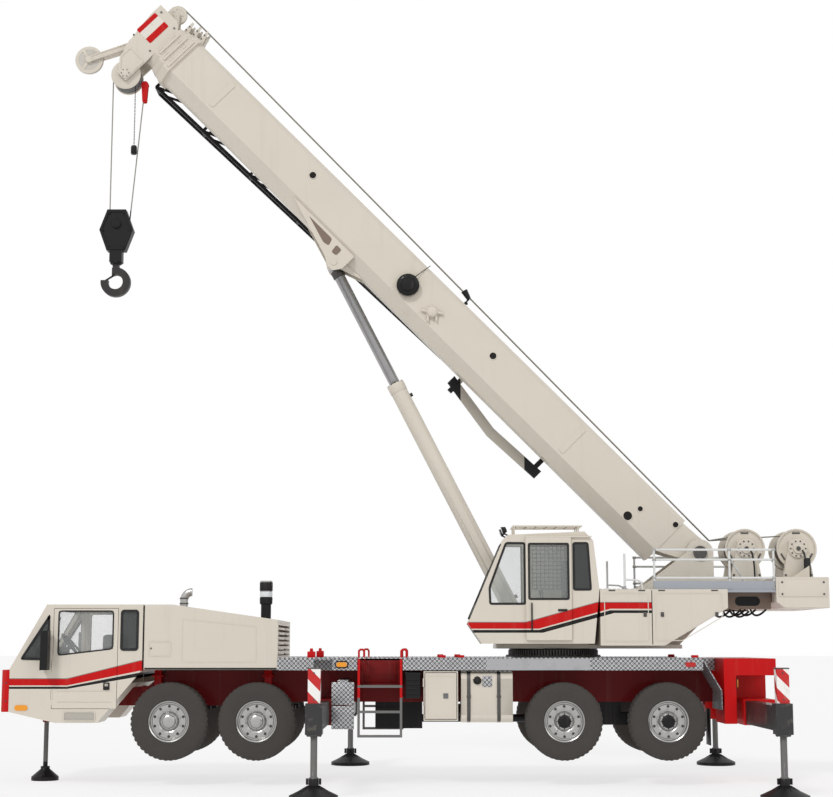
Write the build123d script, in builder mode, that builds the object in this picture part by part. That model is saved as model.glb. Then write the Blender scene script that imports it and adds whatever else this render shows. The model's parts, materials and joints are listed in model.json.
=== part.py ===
from build123d import *
import math
import os

# A four-axle hydraulic truck crane standing on its outriggers, in millimetres.
# The crane faces -X, its left side is -Y, and the floats stand on Z = 0.
# The origin lies on the ground, below the middle of the whole machine.

# Wheels and axles
TYRE_RADIUS = 575
TYRE_WIDTH = 420
TYRE_SHOULDER = 60
TYRE_BULGE = 16
RIM_RADIUS = 300
RIM_SEAT_WIDTH = 340
RIM_WALL = 16
RIM_DISC_THICK = 24
RIM_DISC_INSET = 70
HAND_HOLE_RADIUS = 24
HAND_HOLE_COUNT = 10
HAND_HOLE_CIRCLE = 205
HUB_RADIUS = 105
HUB_LENGTH = 130
HUB_CAP_RADIUS = 75
SPINDLE_RADIUS = 48
AXLE_XS = (-3690, -2385, 2205, 3755)
AXLE_Z = 952
TRACK_OUTER = 1295
AXLE_TUBE_RADIUS = 66
KINGPIN_Y = 800
KINGPIN_RADIUS = 28
KINGPIN_BOSS_RADIUS = 62
KINGPIN_BOSS_HEIGHT = 150
FORK_THICK = 34
RUNNING_GAP = 0.3

# Carrier frame and deck
FRAME_HALF_WIDTH = 460
RAIL_WIDTH = 120
FRAME_TOP = 1690
FRAME_BOTTOM = 1215
FRAME_FRONT = -5950
FRAME_REAR = 5380
FRONT_RAIL_TOP = 1440
FRONT_RAIL_BOTTOM = 1160
RAIL_STEP_X = -4150
ENGINE_BAY_REAR = -2150
CROSS_MEMBER = 110
DECK_TOP = 1880
DECK_PLATE = 30
SKIRT_BOTTOM = 1706
SKIRT_THICK = 12
DECK_FRONT = -2085
DECK_REAR = 4290
DECK_HALF_WIDTH = 1262
FLANK_STEP = 12
FLANK_GAP = 4
APRON_REAR = 4565
APRON_Z = 1410
APRON_DROP = 290
REAR_WALL_X = 4600
REAR_WALL_LENGTH = 180
REAR_WALL_BOTTOM = 916
LADDER_FRONT = -890
LADDER_REAR = -205
LADDER_RECESS = 300

# Outriggers
BEAM_WIDTH = 200
BEAM_HEIGHT = 340
BEAM_LENGTH = 2400
BEAM_Z = 1085
BEAM_WALL = 14
BEAM_FIT = 0.5
BEAM_SPACING = 240
BOX_WALL = 18
BOX_HALF_WIDTH = DECK_HALF_WIDTH - FLANK_STEP
FRONT_BEAM_X = -1400
REAR_BEAM_X = 5010
JACK_Y = 3350
JACK_HOUSING = 236
JACK_HOUSING_BOTTOM = 870
JACK_HOUSING_TOP = 1290
JACK_POST = 172
JACK_POST_TOP = 1760
JACK_CAP = 30
JACK_ROD_RADIUS = 47
JACK_ROD_TOP = 1150
JACK_FIT = 0.5
FLOAT_RADIUS = 335
FLOAT_RIM = 28
FLOAT_TOP_RADIUS = 85
FLOAT_HEIGHT = 175
COLLAR_RADIUS = 70
COLLAR_HEIGHT = 110
FRONT_JACK_X = -5780
FRONT_JACK_ROD_RADIUS = 36
FRONT_JACK_TUBE_RADIUS = 62
FRONT_JACK_TUBE_BOTTOM = 890
FRONT_JACK_TUBE_TOP = 1430
FRONT_FLOAT_RADIUS = 210
FRONT_JACK_ROD_TOP = 1040

# Carrier cab and engine hood
CAB_HALF_WIDTH = DECK_HALF_WIDTH
CAB_WALL = 60
CAB_FRONT = -6085
CAB_REAR = -4110
CAB_ROOF = 2683
CAB_NOSE_BOTTOM = 1092
CAB_SKIRT = 931
CAB_SCREEN_FOOT_X = -6030
CAB_SCREEN_FOOT_Z = 1828
CAB_ROOF_FRONT = -5556
CAB_SKIRT_FRONT = -5381
CAB_SKIRT_REAR = -4756
CAB_ARCH_TOP = 1712
CAB_FLOOR = 1500
CAB_UNDER_HALF = 640
DOOR_FRONT = -5450
DOOR_REAR = -4475
DOOR_TOP = 2628
DOOR_BOTTOM = 1136
DOOR_GAP = 7
DOOR_WINDOW_FRONT = -5372
DOOR_WINDOW_REAR = -4552
DOOR_WINDOW_TOP = 2588
DOOR_WINDOW_FRONT_SILL = 1924
DOOR_WINDOW_REAR_SILL = 2021
GLASS_THICK = 8
GLASS_FIT = 0.3
QUARTER_TOP_Z = 2526
QUARTER_SILL_Z = 1878
QUARTER_FRONT_X = -5919
QUARTER_REAR_X = -5512
REAR_LIGHT_FRONT = -4430
REAR_LIGHT_REAR = -4180
REAR_LIGHT_TOP = 2578
REAR_LIGHT_SILL = 2021
SCREEN_MARGIN = 110
MIRROR_FRONT = -5585
MIRROR_DEPTH = 110
MIRROR_BOTTOM = 1800
MIRROR_TOP = 2290
MIRROR_OUT = 260
BUMPER_FRONT = -6210
BUMPER_BOTTOM = 1092
BUMPER_TOP = 1712
HEADLAMP_RADIUS = 85
HEADLAMP_Y = 1020
HOOD_FRONT = -4085
HOOD_SLOPE_START = -3676
HOOD_REAR = -2085
HOOD_BOTTOM = 1712
HOOD_TOP = 2683
HOOD_REAR_TOP = 2455
HOOD_HALF_WIDTH = DECK_HALF_WIDTH - FLANK_STEP
HOOD_WALL = 40
LOUVRE_COUNT = 7
LOUVRE_HEIGHT = 34
ENGINE_FRONT = -3950
ENGINE_REAR = -2350
ENGINE_HALF_WIDTH = 320
ENGINE_BOTTOM = 1180
ENGINE_TOP = 2280
STACK_X = -3585
STACK_Y = -620
STACK_RADIUS = 62
STACK_TIP_Z = 2950
CLEANER_X = -2320
CLEANER_RADIUS = 95
CLEANER_TOP = 3060

# Carrier side equipment
SIDE_FACE = DECK_HALF_WIDTH - FLANK_GAP
TANK_FRONT = 668
TANK_REAR = 1438
TANK_TOP = 1690
TANK_BOTTOM = 935
TANK_DEPTH = 640
TANK_ROUND = 110
STRAP_WIDTH = 44
STRAP_THICK = 10
BOX_FRONT = 106
BOX_REAR = 620
BOX_BOTTOM = 960
BOX_DEPTH = 560
BOX_PANEL = 40
BATTERY_FRONT = -160
BATTERY_REAR = 55
BATTERY_TOP = 1660
BATTERY_BOTTOM = 1290
STRINGER = 36
RUNG_ZS = (1466, 1092, 735)
HOOP_TOP = 2005
HOOP_RADIUS = 14

# Slew ring and superstructure
SLEW_X = 2147
RING_RADIUS = 690
RING_BASE_RADIUS = 640
RING_BASE_TOP = 1905
RING_TOP = 2025
RING_TOOTH_COUNT = 60
TURN_GAP = 0.5
BED_FRONT = 1230
BED_REAR = 4080
BED_HALF_WIDTH = 640
BED_THICK = 60
CHEEK_INNER = 345
CHEEK_THICK = 45
TAIL_LENGTH = 1500
CHEEK_BOTTOM_REAR = 2640
PIVOT_X = 4430
PIVOT_Z = 3508
PIVOT_BOSS = 210
PIVOT_PIN_RADIUS = 70
COVER_FRONT = 2770
COVER_REAR = 4700
CHEEK_TAIL = COVER_REAR + TAIL_LENGTH
COVER_BOTTOM = 2068
COVER_TOP = 2915
COVER_SLOPE_X = 3735
COVER_REAR_BOTTOM = 2632
COVER_FACE = 1200
COVER_INNER = 450
WEIGHT_LENGTH = 770
WEIGHT_TAIL = 35
WEIGHT_FRONT = CHEEK_TAIL - WEIGHT_LENGTH
WEIGHT_REAR = CHEEK_TAIL + WEIGHT_TAIL
WEIGHT_TOP = 3097
WEIGHT_BOTTOM = 2632
WEIGHT_HALF_WIDTH = 1200
WINCH_SETBACKS = (1050, 240)
WINCH_XS = tuple(CHEEK_TAIL - setback for setback in WINCH_SETBACKS)
WINCH_Z = 3570
WINCH_FLANGE = 310
WINCH_DRUM = 215
WINCH_HALF_LENGTH = 300
WINCH_PLATE = 24
RAIL_RADIUS = 17
RAIL_FRONT = 3600
RAIL_MIDDLE_STEP = 40
RAIL_END_GAP = 20
RAIL_POST_XS = (RAIL_FRONT, COVER_REAR + RAIL_MIDDLE_STEP, WEIGHT_FRONT - RAIL_END_GAP)
RAIL_ZS = (3510, 3360, 3085)
TOE_TOP = 3035
WALKWAY_THICK = 45

# Operator's cab
OP_OUTER = 1205
OP_INNER = 450
OP_WALL = 45
OP_NOSE_X = 775
OP_NOSE_Z = 2400
OP_ROOF_FRONT_X = 1390
OP_ROOF_FRONT_Z = 3735
OP_BROW = 60
OP_SCREEN_TOP_X = 1320
OP_SCREEN_TOP_Z = OP_ROOF_FRONT_Z - OP_BROW
OP_ROOF_RISE = 50
OP_ROOF_REAR_X = 2550
OP_ROOF_REAR_Z = OP_ROOF_FRONT_Z + OP_ROOF_RISE
OP_ROOF_DROP = 142
OP_BACK_TOP_X = 2680
OP_BACK_TOP_Z = OP_ROOF_REAR_Z - OP_ROOF_DROP
OP_BACK_X = 2762
OP_BACK_Z = 2915
OP_FOOT_REAR_X = 2680
OP_FOOT_FRONT_X = 982
OP_BOTTOM = 2100
OP_DOOR_FRONT = 1690
OP_DOOR_REAR = 2300
OP_DOOR_BOTTOM = 2190
OP_LINTEL = 80
OP_DOOR_TOP = OP_ROOF_FRONT_Z - OP_LINTEL
OP_DOOR_THICK = 40
OP_DOOR_LAP = 40
OP_DOOR_GAP = 5
OP_DOOR_SILL = 2760
OP_DOOR_HEAD_RAIL = 55
OP_DOOR_HEAD = OP_DOOR_TOP - OP_DOOR_HEAD_RAIL
OP_SIDE_FRONT = 1110
OP_SIDE_REAR = 1640
OP_SIDE_SILL = 2700
OP_SIDE_HEAD = OP_DOOR_HEAD
OP_SIDE_TOP_FRONT = 1345
OP_SIDE_KINK = 2960
OP_REAR_LIGHT_FRONT = 2370
OP_REAR_LIGHT_REAR = 2640
OP_REAR_LIGHT_SILL = 2915

# Boom, in its own frame: along from the foot pin, up from the foot pin
BOOM_ANGLE = 45.2
BOOM_HALF_WIDTH = 310
BOOM_TOP = 220
BOOM_BOTTOM = -643
BOOM_WALL = 14
BOOM_TOP_BEVEL = 70
BOOM_BELLY_WIDTH = 150
BOOM_BELLY_HEIGHT = 190
BOOM_REAR = 500
BOOM_BASE_FRONT = 11550
COLLAR_LENGTH = 130
COLLAR_LIP = 34
COLLAR_CREST = 190
SECTION_STEP = 36
SECTION_FIT = 0.5
SECTION_SETBACK = 150
FOOT_LUG_THICK = 60
FOOT_LUG_OUTER = 300
HEAD_REACH = 950
HEAD_FRONT = BOOM_BASE_FRONT + HEAD_REACH
HEAD_PLATE_THICK = 36
HEAD_PLATE_OUTER = 225
SHEAVE_SETBACK = 440
SHEAVE_ALONG = HEAD_FRONT - SHEAVE_SETBACK
SHEAVE_UP = -1000
SHEAVE_RADIUS = 225
SHEAVE_GROOVE = 18
SHEAVE_HALF_LENGTH = 110
SHEAVE_PIN_RADIUS = 40
NOSE_REACH = 220
NOSE_ALONG = HEAD_FRONT + NOSE_REACH
NOSE_UP = -1243
NOSE_RADIUS = 225
NOSE_HALF_LENGTH = 32
NOSE_ARM_OUTER = 74
NOSE_ARM_THICK = 18
IDLER_SETBACK = 250
IDLER_ALONG = HEAD_FRONT - IDLER_SETBACK
IDLER_UP = 330
IDLER_RADIUS = 150
ROPE_RADIUS = 10
HOOK_SHEAVE_Z = 8860
HOOK_SHEAVE_RADIUS = 195
BLOCK_HALF_LENGTH = 95
BLOCK_TOP = 9100
BLOCK_BOTTOM = 8420
BLOCK_HALF_WIDTH = 275
YOKE_BOTTOM = 8230
HOOK_CENTRE_Z = 7905
HOOK_OUTER = 240
HOOK_INNER = 120
HOOK_THICK = 110
BRACKET_ALONG = 7400
BRACKET_UP = -800
BRACKET_RADIUS = 112
BRACKET_HALF_BASE = 560
BRACKET_THICK = 30
REEL_ALONG = 6250
REEL_UP = -230
REEL_RADIUS = 180
REEL_THICK = 85
JIB_START = 5150
JIB_END = 11750
JIB_INNER = 400
JIB_OUTER = 780
JIB_TOP = -180
JIB_BOTTOM_START = -560
JIB_BOTTOM_END = -720
JIB_TUBE = 52
JIB_BAYS = 6
STOW_ARM_THICK = 80

# Lift cylinder
LIFT_FOOT_X = 1600
LIFT_FOOT_Z = 2450
LIFT_PIN_RADIUS = 55
LIFT_EYE_RADIUS = 125
LIFT_EYE_HALF_LENGTH = 100
BARREL_RADIUS = 135
BARREL_BORE = 105
BARREL_LENGTH = 4254
BARREL_FLOOR = 150
ROD_RADIUS = 88
ROD_LENGTH = 4250
PISTON_LENGTH = 140
CYLINDER_FIT = 0.5
ROD_EYE_RADIUS = 105

# Frame details
RAIL_STEP_RUN = 300
ENGINE_BAY_RAMP = 200
REAR_LEDGE = 60
HOUSING_NOTCH = 22

# Cab details
HINGE_RADIUS = 12
HINGE_GAP = 3
HINGE_LENGTH = 130
DOOR_HINGE_ZS = (1280, 1700)
CAB_NOSE_STEP = 20
MIRROR_DROP = 90
MIRROR_ARM_DROP = 50
CAB_SEAT_Y = 560
CAB_SEAT_SETBACK = 85
CAB_SEAT_LENGTH = 520
CAB_SEAT_LAP = 60
CAB_SEAT_HALF_WIDTH = 240
CAB_SEAT_TRIM = 10
CAB_SEAT_BACK_DEPTH = 160
CAB_SEAT_HEIGHT = 420
CAB_SEAT_TOP = 1050
INTERIOR_GAP = 5
DASH_REACH = 435
DASH_HEIGHT = 300
STEER_WHEEL_REACH = 525
STEER_WHEEL_RISE = 520
STEER_WHEEL_RADIUS = 230
STEER_WHEEL_RIM = 35
STEER_SPOKE = 35
STEER_COLUMN_LENGTH = 340
STEER_COLUMN_DIR = (0.64, 0, 0.77)

# Hood and engine details
GRILLE_EDGE = 150
ENGINE_FOOT_INSET = 200
ENGINE_FOOT_LOW = 100
ENGINE_FOOT_HIGH = 200

# Side equipment details
BOX_HINGE_ZS = (1060, 1460)
STRAP_FRONT_SETBACK = 90
STRAP_REAR_SETBACK = 230
TANK_STEP = 70
LADDER_EDGE = 8
BATTERY_STAY_INSET = 90

# Axle and drive details
SPRING_PAD = 90
SPRING_DROP = 40
SPRING_EYE = 70
SPRING_LEAF = 20
GEARBOX_FRONT = -640
GEARBOX_REAR = 90
GEARBOX_RISE = 60
AIR_TANK_DROP = 130
AIR_TANK_FRONT = 120
AIR_TANK_REAR = 1150
AIR_TANK_STAY = 60
AIR_TANK_STAY_X = 500
AIR_TANK_STAY_DROP = 160
SPINDLE_STEP = 8
HUB_FACE = 40
HUB_CAP_SETBACK = 8
HANGER_HEIGHT = 60
SPRING_Y = 400
SPRING_HALF_WIDTH = 45
SPRING_HALF_LENGTH = 520
WALKING_BEAM_HEIGHT = 170
BOGIE_SEAT = 160
DIFF_RADIUS = 210
SHAFT_RADIUS = 60
GEARBOX_HALF = 210
AIR_TANK_Y = 538
AIR_TANK_RADIUS = 70

# Outrigger details
COLLAR_TAPER = 20
FRONT_COLLAR_HEIGHT = 40

# Superstructure details
TOOTH_SPACE = 26
TOOTH_DEPTH = 30
TOOTH_SHELF = 40
BROW_SETBACK = 900
BROW_DROP = 520
TAIL_BOX_WIDTH = 300
TAIL_BOX_STEP = 20
WEIGHT_NOSE_RISE = 90
WEIGHT_NOSE_RUN = 120
WINCH_FOOT = 240
WINCH_BRACE = 130
GUARD_RISE = 85
GUARD_Z = OP_ROOF_REAR_Z + GUARD_RISE
GUARD_FRONT = 1460
GUARD_REAR = 2520
GUARD_RADIUS = 14
GUARD_POST = 10
DOOR_RAIL_REAR = 2690
SEAT_FRONT = 1880
SEAT_REAR = 2380
SEAT_HALF_WIDTH = 240
SEAT_HEIGHT = 480
SEAT_BACK = 720
SEAT_BACK_THICK = 130
CONSOLE_FRONT = 1180
CONSOLE_DEPTH = 160

# Boom, hook and lift details
HEAD_CHIN = 100
NOSE_BRACE_SETBACK = 130
SOCKET_SETBACK = 740
COLLAR_SPACE = 10
LUG_REACH = 140
EYE_GAP = 15
STOW_ALONGS = (6200, 10300)
HOOK_OFFSET = 105
PISTON_GAP = 0.3
CREST_HALF_WIDTH = 60
LUG_BOSS = 190
HEAD_LOW_UP = -686
IDLER_AXLE = 30
NOSE_BRACE_UP = -560
NOSE_BRACE_RADIUS = 55
JIB_TIP_TOP = -300
JIB_TIP_OUTER = 600
STOW_BAR = 80
ARM_REAR = 2660
ARM_MIDDLE = 3700
ARM_FRONT = 4760
ARM_REAR_UP = -830
ARM_MIDDLE_UP = -880
ARM_FRONT_UP = -720
SHEAVE_COUNT = 3
SOCKET_UP = -884
SOCKET_RADIUS = 55
SOCKET_LENGTH = 150
SHANK_RADIUS = 50

os.makedirs("parts", exist_ok=True)

WHEEL_Y = TRACK_OUTER - TYRE_WIDTH / 2
SPINDLE_END = TRACK_OUTER - RIM_DISC_INSET
BOOM_COS = math.cos(math.radians(BOOM_ANGLE))
BOOM_SIN = math.sin(math.radians(BOOM_ANGLE))


def boom_point(along, up, y=0):
    """A point given along and above the boom's foot pin, in the crane's frame."""
    x = PIVOT_X - along * BOOM_COS + up * BOOM_SIN
    z = PIVOT_Z + along * BOOM_SIN + up * BOOM_COS
    return (x, y, z)


BOOM_SIDE = Plane(origin=boom_point(0, 0), x_dir=(-BOOM_COS, 0, BOOM_SIN), z_dir=(0, 1, 0))
LIFT_FOOT = Vector(LIFT_FOOT_X, 0, LIFT_FOOT_Z)
LIFT_TOP = Vector(*boom_point(BRACKET_ALONG, BRACKET_UP))
LIFT_SPAN = (LIFT_TOP - LIFT_FOOT).length
LIFT_DIR = (LIFT_TOP - LIFT_FOOT) * (1 / LIFT_SPAN)
SHEAVE_CENTRE = boom_point(SHEAVE_ALONG, SHEAVE_UP)


def boom_section_plane(along):
    """The cross-section plane of the boom at a distance from its foot pin."""
    return Plane(origin=boom_point(along, 0), x_dir=(0, -1, 0), z_dir=(-BOOM_COS, 0, BOOM_SIN))


def lift_plane(along):
    """The cross-section plane of the lift cylinder at a distance from its foot."""
    return Plane(origin=LIFT_FOOT + LIFT_DIR * along, x_dir=(0, 1, 0), z_dir=LIFT_DIR)


def block(x0, x1, y0, y1, z0, z1, mode=Mode.ADD):
    """A plain rectangular block between two corners, in the part being built."""
    with Locations(((x0 + x1) / 2, (y0 + y1) / 2, (z0 + z1) / 2)):
        Box(x1 - x0, y1 - y0, z1 - z0, mode=mode)


def side_plate(y0, y1, *points, mode=Mode.ADD):
    """A plate with the given side outline, between two distances across the crane."""
    with BuildSketch(Plane.XZ.offset(-y1)) as face:
        Polygon(*points, align=None)
    extrude(face.sketch, amount=y1 - y0, mode=mode)


def inset_plate(y0, y1, wall, *points, mode=Mode.ADD):
    """A side plate whose outline is moved in by a wall."""
    with BuildSketch(Plane.XZ.offset(-y1)) as face:
        Polygon(*points, align=None)
        offset(amount=-wall, kind=Kind.INTERSECTION, mode=Mode.REPLACE)
    extrude(face.sketch, amount=y1 - y0, mode=mode)


def cross_bar(x, z, radius, y0, y1, mode=Mode.ADD):
    """A round bar or bore that lies across the crane."""
    with BuildSketch(Plane.XZ.offset(-y1)) as face:
        with Locations((x, z)):
            Circle(radius)
    extrude(face.sketch, amount=y1 - y0, mode=mode)


def upright(x, y, radius, z0, z1, mode=Mode.ADD):
    """A round bar or bore that stands upright."""
    with BuildSketch(Plane.XY.offset(z0)) as face:
        with Locations((x, y)):
            Circle(radius)
    extrude(face.sketch, amount=z1 - z0, mode=mode)


def fore_bar(y, z, radius, x0, x1, mode=Mode.ADD):
    """A round bar or bore that lies along the crane."""
    with BuildSketch(Plane.YZ.offset(x0)) as face:
        with Locations((y, z)):
            Circle(radius)
    extrude(face.sketch, amount=x1 - x0, mode=mode)


def boom_plate(y0, y1, *points, mode=Mode.ADD):
    """A plate with the given outline in the boom's side view."""
    with BuildSketch(BOOM_SIDE.offset(y0)) as face:
        Polygon(*points, align=None)
    extrude(face.sketch, amount=y1 - y0, mode=mode)


def boom_bar(along, up, radius, y0, y1, mode=Mode.ADD):
    """A round bar or bore that lies across the boom."""
    with BuildSketch(BOOM_SIDE.offset(y0)) as face:
        with Locations((along, up)):
            Circle(radius)
    extrude(face.sketch, amount=y1 - y0, mode=mode)


def lift_bar(along0, along1, radius, mode=Mode.ADD):
    """A round bar or bore on the lift cylinder's own axis."""
    with BuildSketch(lift_plane(along0)) as face:
        Circle(radius)
    extrude(face.sketch, amount=along1 - along0, mode=mode)


def both_ends(side, near, far):
    """The lower and higher Y of a span on one side of the crane."""
    return sorted((side * near, side * far))


def finish(piece, name):
    """Names a finished piece and writes it."""
    piece.part.label = name
    export_step(piece.part, "parts/" + name + ".step")


SIDES = {"left": -1, "right": 1}


# Carrier frame: box girder, front rails, outrigger boxes and front jack tube
def outrigger_box(beam_x):
    """The cross box that holds one pair of outrigger beams."""
    half = BEAM_WIDTH / 2 + BEAM_FIT + BOX_WALL
    top = BEAM_Z + BEAM_HEIGHT / 2 + BEAM_FIT + BOX_WALL
    bottom = BEAM_Z - BEAM_HEIGHT / 2 - BEAM_FIT - BOX_WALL
    block(beam_x - half, beam_x + BEAM_SPACING + half, -BOX_HALF_WIDTH, BOX_HALF_WIDTH, bottom, top)


def outrigger_bores(beam_x):
    """The two square bores of an outrigger box, each closed at its far end."""
    half = BEAM_WIDTH / 2 + BEAM_FIT
    tall = BEAM_HEIGHT / 2 + BEAM_FIT
    end = BOX_HALF_WIDTH - BOX_WALL
    right_x = beam_x + BEAM_SPACING
    block(beam_x - half, beam_x + half, -BOX_HALF_WIDTH, end, BEAM_Z - tall, BEAM_Z + tall, Mode.SUBTRACT)
    block(right_x - half, right_x + half, -end, BOX_HALF_WIDTH, BEAM_Z - tall, BEAM_Z + tall, Mode.SUBTRACT)


with BuildPart() as carrier_frame:
    side_plate(
        -FRAME_HALF_WIDTH, FRAME_HALF_WIDTH,
        (FRAME_FRONT, FRONT_RAIL_BOTTOM), (FRAME_FRONT, FRONT_RAIL_TOP), (RAIL_STEP_X, FRONT_RAIL_TOP),
        (RAIL_STEP_X + RAIL_STEP_RUN, FRAME_TOP), (FRAME_REAR, FRAME_TOP), (FRAME_REAR, FRAME_BOTTOM),
        (ENGINE_BAY_REAR, FRAME_BOTTOM), (ENGINE_BAY_REAR - ENGINE_BAY_RAMP, FRONT_RAIL_BOTTOM))
    inner = FRAME_HALF_WIDTH - RAIL_WIDTH
    block(FRONT_JACK_X + 2 * FRONT_JACK_TUBE_RADIUS, ENGINE_BAY_REAR, -inner, inner,
          FRONT_RAIL_BOTTOM, FRAME_TOP, Mode.SUBTRACT)
    for beam_x in (FRONT_BEAM_X, REAR_BEAM_X):
        outrigger_box(beam_x)
    for beam_x in (FRONT_BEAM_X, REAR_BEAM_X):
        outrigger_bores(beam_x)
    for side in SIDES.values():
        y0, y1 = both_ends(side, FRAME_HALF_WIDTH, BOX_HALF_WIDTH)
        block(REAR_WALL_X, REAR_WALL_X + REAR_WALL_LENGTH, y0, y1, REAR_WALL_BOTTOM, DECK_TOP)
        y0, y1 = both_ends(side, FRAME_HALF_WIDTH - RAIL_WIDTH, BOX_HALF_WIDTH)
        block(REAR_WALL_X, FRAME_REAR, y0, y1, FRAME_TOP - REAR_LEDGE, DECK_TOP)
    block(REAR_WALL_X, FRAME_REAR, -FRAME_HALF_WIDTH, FRAME_HALF_WIDTH, FRAME_TOP - REAR_LEDGE, DECK_TOP)
    upright(FRONT_JACK_X, 0, FRONT_JACK_TUBE_RADIUS, FRONT_JACK_TUBE_BOTTOM, FRONT_JACK_TUBE_TOP)
    upright(FRONT_JACK_X, 0, FRONT_JACK_ROD_RADIUS + JACK_FIT, FRONT_JACK_TUBE_BOTTOM,
            FRONT_JACK_TUBE_TOP - CROSS_MEMBER / 4, Mode.SUBTRACT)
finish(carrier_frame, "carrier_frame")


# Deck: top plate with edge skirts, bearers on the frame and rear aprons
with BuildPart() as carrier_deck:
    block(DECK_FRONT, DECK_REAR, -DECK_HALF_WIDTH, DECK_HALF_WIDTH, DECK_TOP - DECK_PLATE, DECK_TOP)
    block(DECK_FRONT, REAR_WALL_X, -FRAME_HALF_WIDTH, FRAME_HALF_WIDTH, FRAME_TOP, DECK_TOP)
    for side in SIDES.values():
        y0, y1 = both_ends(side, DECK_HALF_WIDTH - SKIRT_THICK, DECK_HALF_WIDTH)
        block(DECK_FRONT, DECK_REAR, y0, y1, SKIRT_BOTTOM, DECK_TOP)
        y0, y1 = both_ends(side, FRAME_HALF_WIDTH, DECK_HALF_WIDTH)
        side_plate(
            y0, y1, (DECK_REAR, DECK_TOP - DECK_PLATE), (DECK_REAR, DECK_TOP), (APRON_REAR, APRON_Z),
            (APRON_REAR, APRON_Z - APRON_DROP), (APRON_REAR - SKIRT_THICK, APRON_Z - APRON_DROP),
            (APRON_REAR - SKIRT_THICK, APRON_Z - SKIRT_THICK))
    notch = JACK_HOUSING / 2 + HOUSING_NOTCH
    block(FRONT_BEAM_X - notch, FRONT_BEAM_X + notch, -DECK_HALF_WIDTH, -DECK_HALF_WIDTH + 2 * notch,
          SKIRT_BOTTOM, DECK_TOP, Mode.SUBTRACT)
    right_x = FRONT_BEAM_X + BEAM_SPACING
    block(right_x - notch, right_x + notch, DECK_HALF_WIDTH - 2 * notch, DECK_HALF_WIDTH,
          SKIRT_BOTTOM, DECK_TOP, Mode.SUBTRACT)
    for side in SIDES.values():
        y0, y1 = both_ends(side, DECK_HALF_WIDTH - LADDER_RECESS, DECK_HALF_WIDTH)
        block(LADDER_FRONT, LADDER_REAR, y0, y1, SKIRT_BOTTOM, DECK_TOP, Mode.SUBTRACT)
    upright(SLEW_X, 0, RING_BASE_RADIUS, FRAME_TOP, DECK_TOP, Mode.SUBTRACT)
finish(carrier_deck, "carrier_deck")


# Front bumper with two lamp recesses on each side
with BuildPart() as front_bumper:
    block(BUMPER_FRONT, CAB_FRONT, -CAB_HALF_WIDTH, CAB_HALF_WIDTH, BUMPER_BOTTOM, BUMPER_TOP)
    fillet(front_bumper.edges().filter_by(Axis.Z).group_by(Axis.X)[0], (CAB_FRONT - BUMPER_FRONT) * 0.6)
    for side in SIDES.values():
        for shift in (0, -2.3 * HEADLAMP_RADIUS):
            with BuildSketch(Plane.YZ.offset(BUMPER_FRONT)):
                with Locations((side * (HEADLAMP_Y + shift), (BUMPER_BOTTOM + BUMPER_TOP) / 2)):
                    Circle(HEADLAMP_RADIUS)
            extrude(amount=HEADLAMP_RADIUS / 2, mode=Mode.SUBTRACT)
finish(front_bumper, "front_bumper")


# Carrier cab: hollow shell with its openings, two doors and fixed glass
CAB_OUTLINE = (
    (CAB_FRONT, CAB_NOSE_BOTTOM), (CAB_FRONT, BUMPER_TOP + CAB_NOSE_STEP), (CAB_SCREEN_FOOT_X,
    CAB_SCREEN_FOOT_Z),
    (CAB_ROOF_FRONT, CAB_ROOF), (CAB_REAR, CAB_ROOF), (CAB_REAR, CAB_ARCH_TOP),
    (CAB_SKIRT_REAR, CAB_SKIRT), (CAB_SKIRT_FRONT, CAB_SKIRT))
DOOR_WINDOW = (
    (DOOR_WINDOW_FRONT, DOOR_WINDOW_FRONT_SILL), (DOOR_WINDOW_FRONT, DOOR_WINDOW_TOP),
    (DOOR_WINDOW_REAR, DOOR_WINDOW_TOP), (DOOR_WINDOW_REAR, DOOR_WINDOW_REAR_SILL))
QUARTER_WINDOW = (
    (QUARTER_FRONT_X, QUARTER_SILL_Z), (QUARTER_REAR_X, QUARTER_TOP_Z), (QUARTER_REAR_X, QUARTER_SILL_Z))
REAR_WINDOW = (
    (REAR_LIGHT_FRONT, REAR_LIGHT_SILL), (REAR_LIGHT_FRONT, REAR_LIGHT_TOP),
    (REAR_LIGHT_REAR, REAR_LIGHT_TOP), (REAR_LIGHT_REAR, REAR_LIGHT_SILL))
SCREEN_RUN = math.hypot(CAB_ROOF_FRONT - CAB_SCREEN_FOOT_X, CAB_ROOF - CAB_SCREEN_FOOT_Z)
SCREEN_PLANE = Plane(
    origin=((CAB_ROOF_FRONT + CAB_SCREEN_FOOT_X) / 2, 0, (CAB_ROOF + CAB_SCREEN_FOOT_Z) / 2),
    x_dir=(0, 1, 0),
    z_dir=(CAB_SCREEN_FOOT_Z - CAB_ROOF, 0, CAB_ROOF_FRONT - CAB_SCREEN_FOOT_X))
CAB_INNER = CAB_HALF_WIDTH - CAB_WALL
CAB_ROOM = (
    (CAB_FRONT, CAB_FLOOR - CAB_WALL), (CAB_FRONT, BUMPER_TOP + CAB_NOSE_STEP), (CAB_SCREEN_FOOT_X,
    CAB_SCREEN_FOOT_Z),
    (CAB_ROOF_FRONT, CAB_ROOF), (CAB_REAR, CAB_ROOF), (CAB_REAR, CAB_FLOOR - CAB_WALL))


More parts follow.
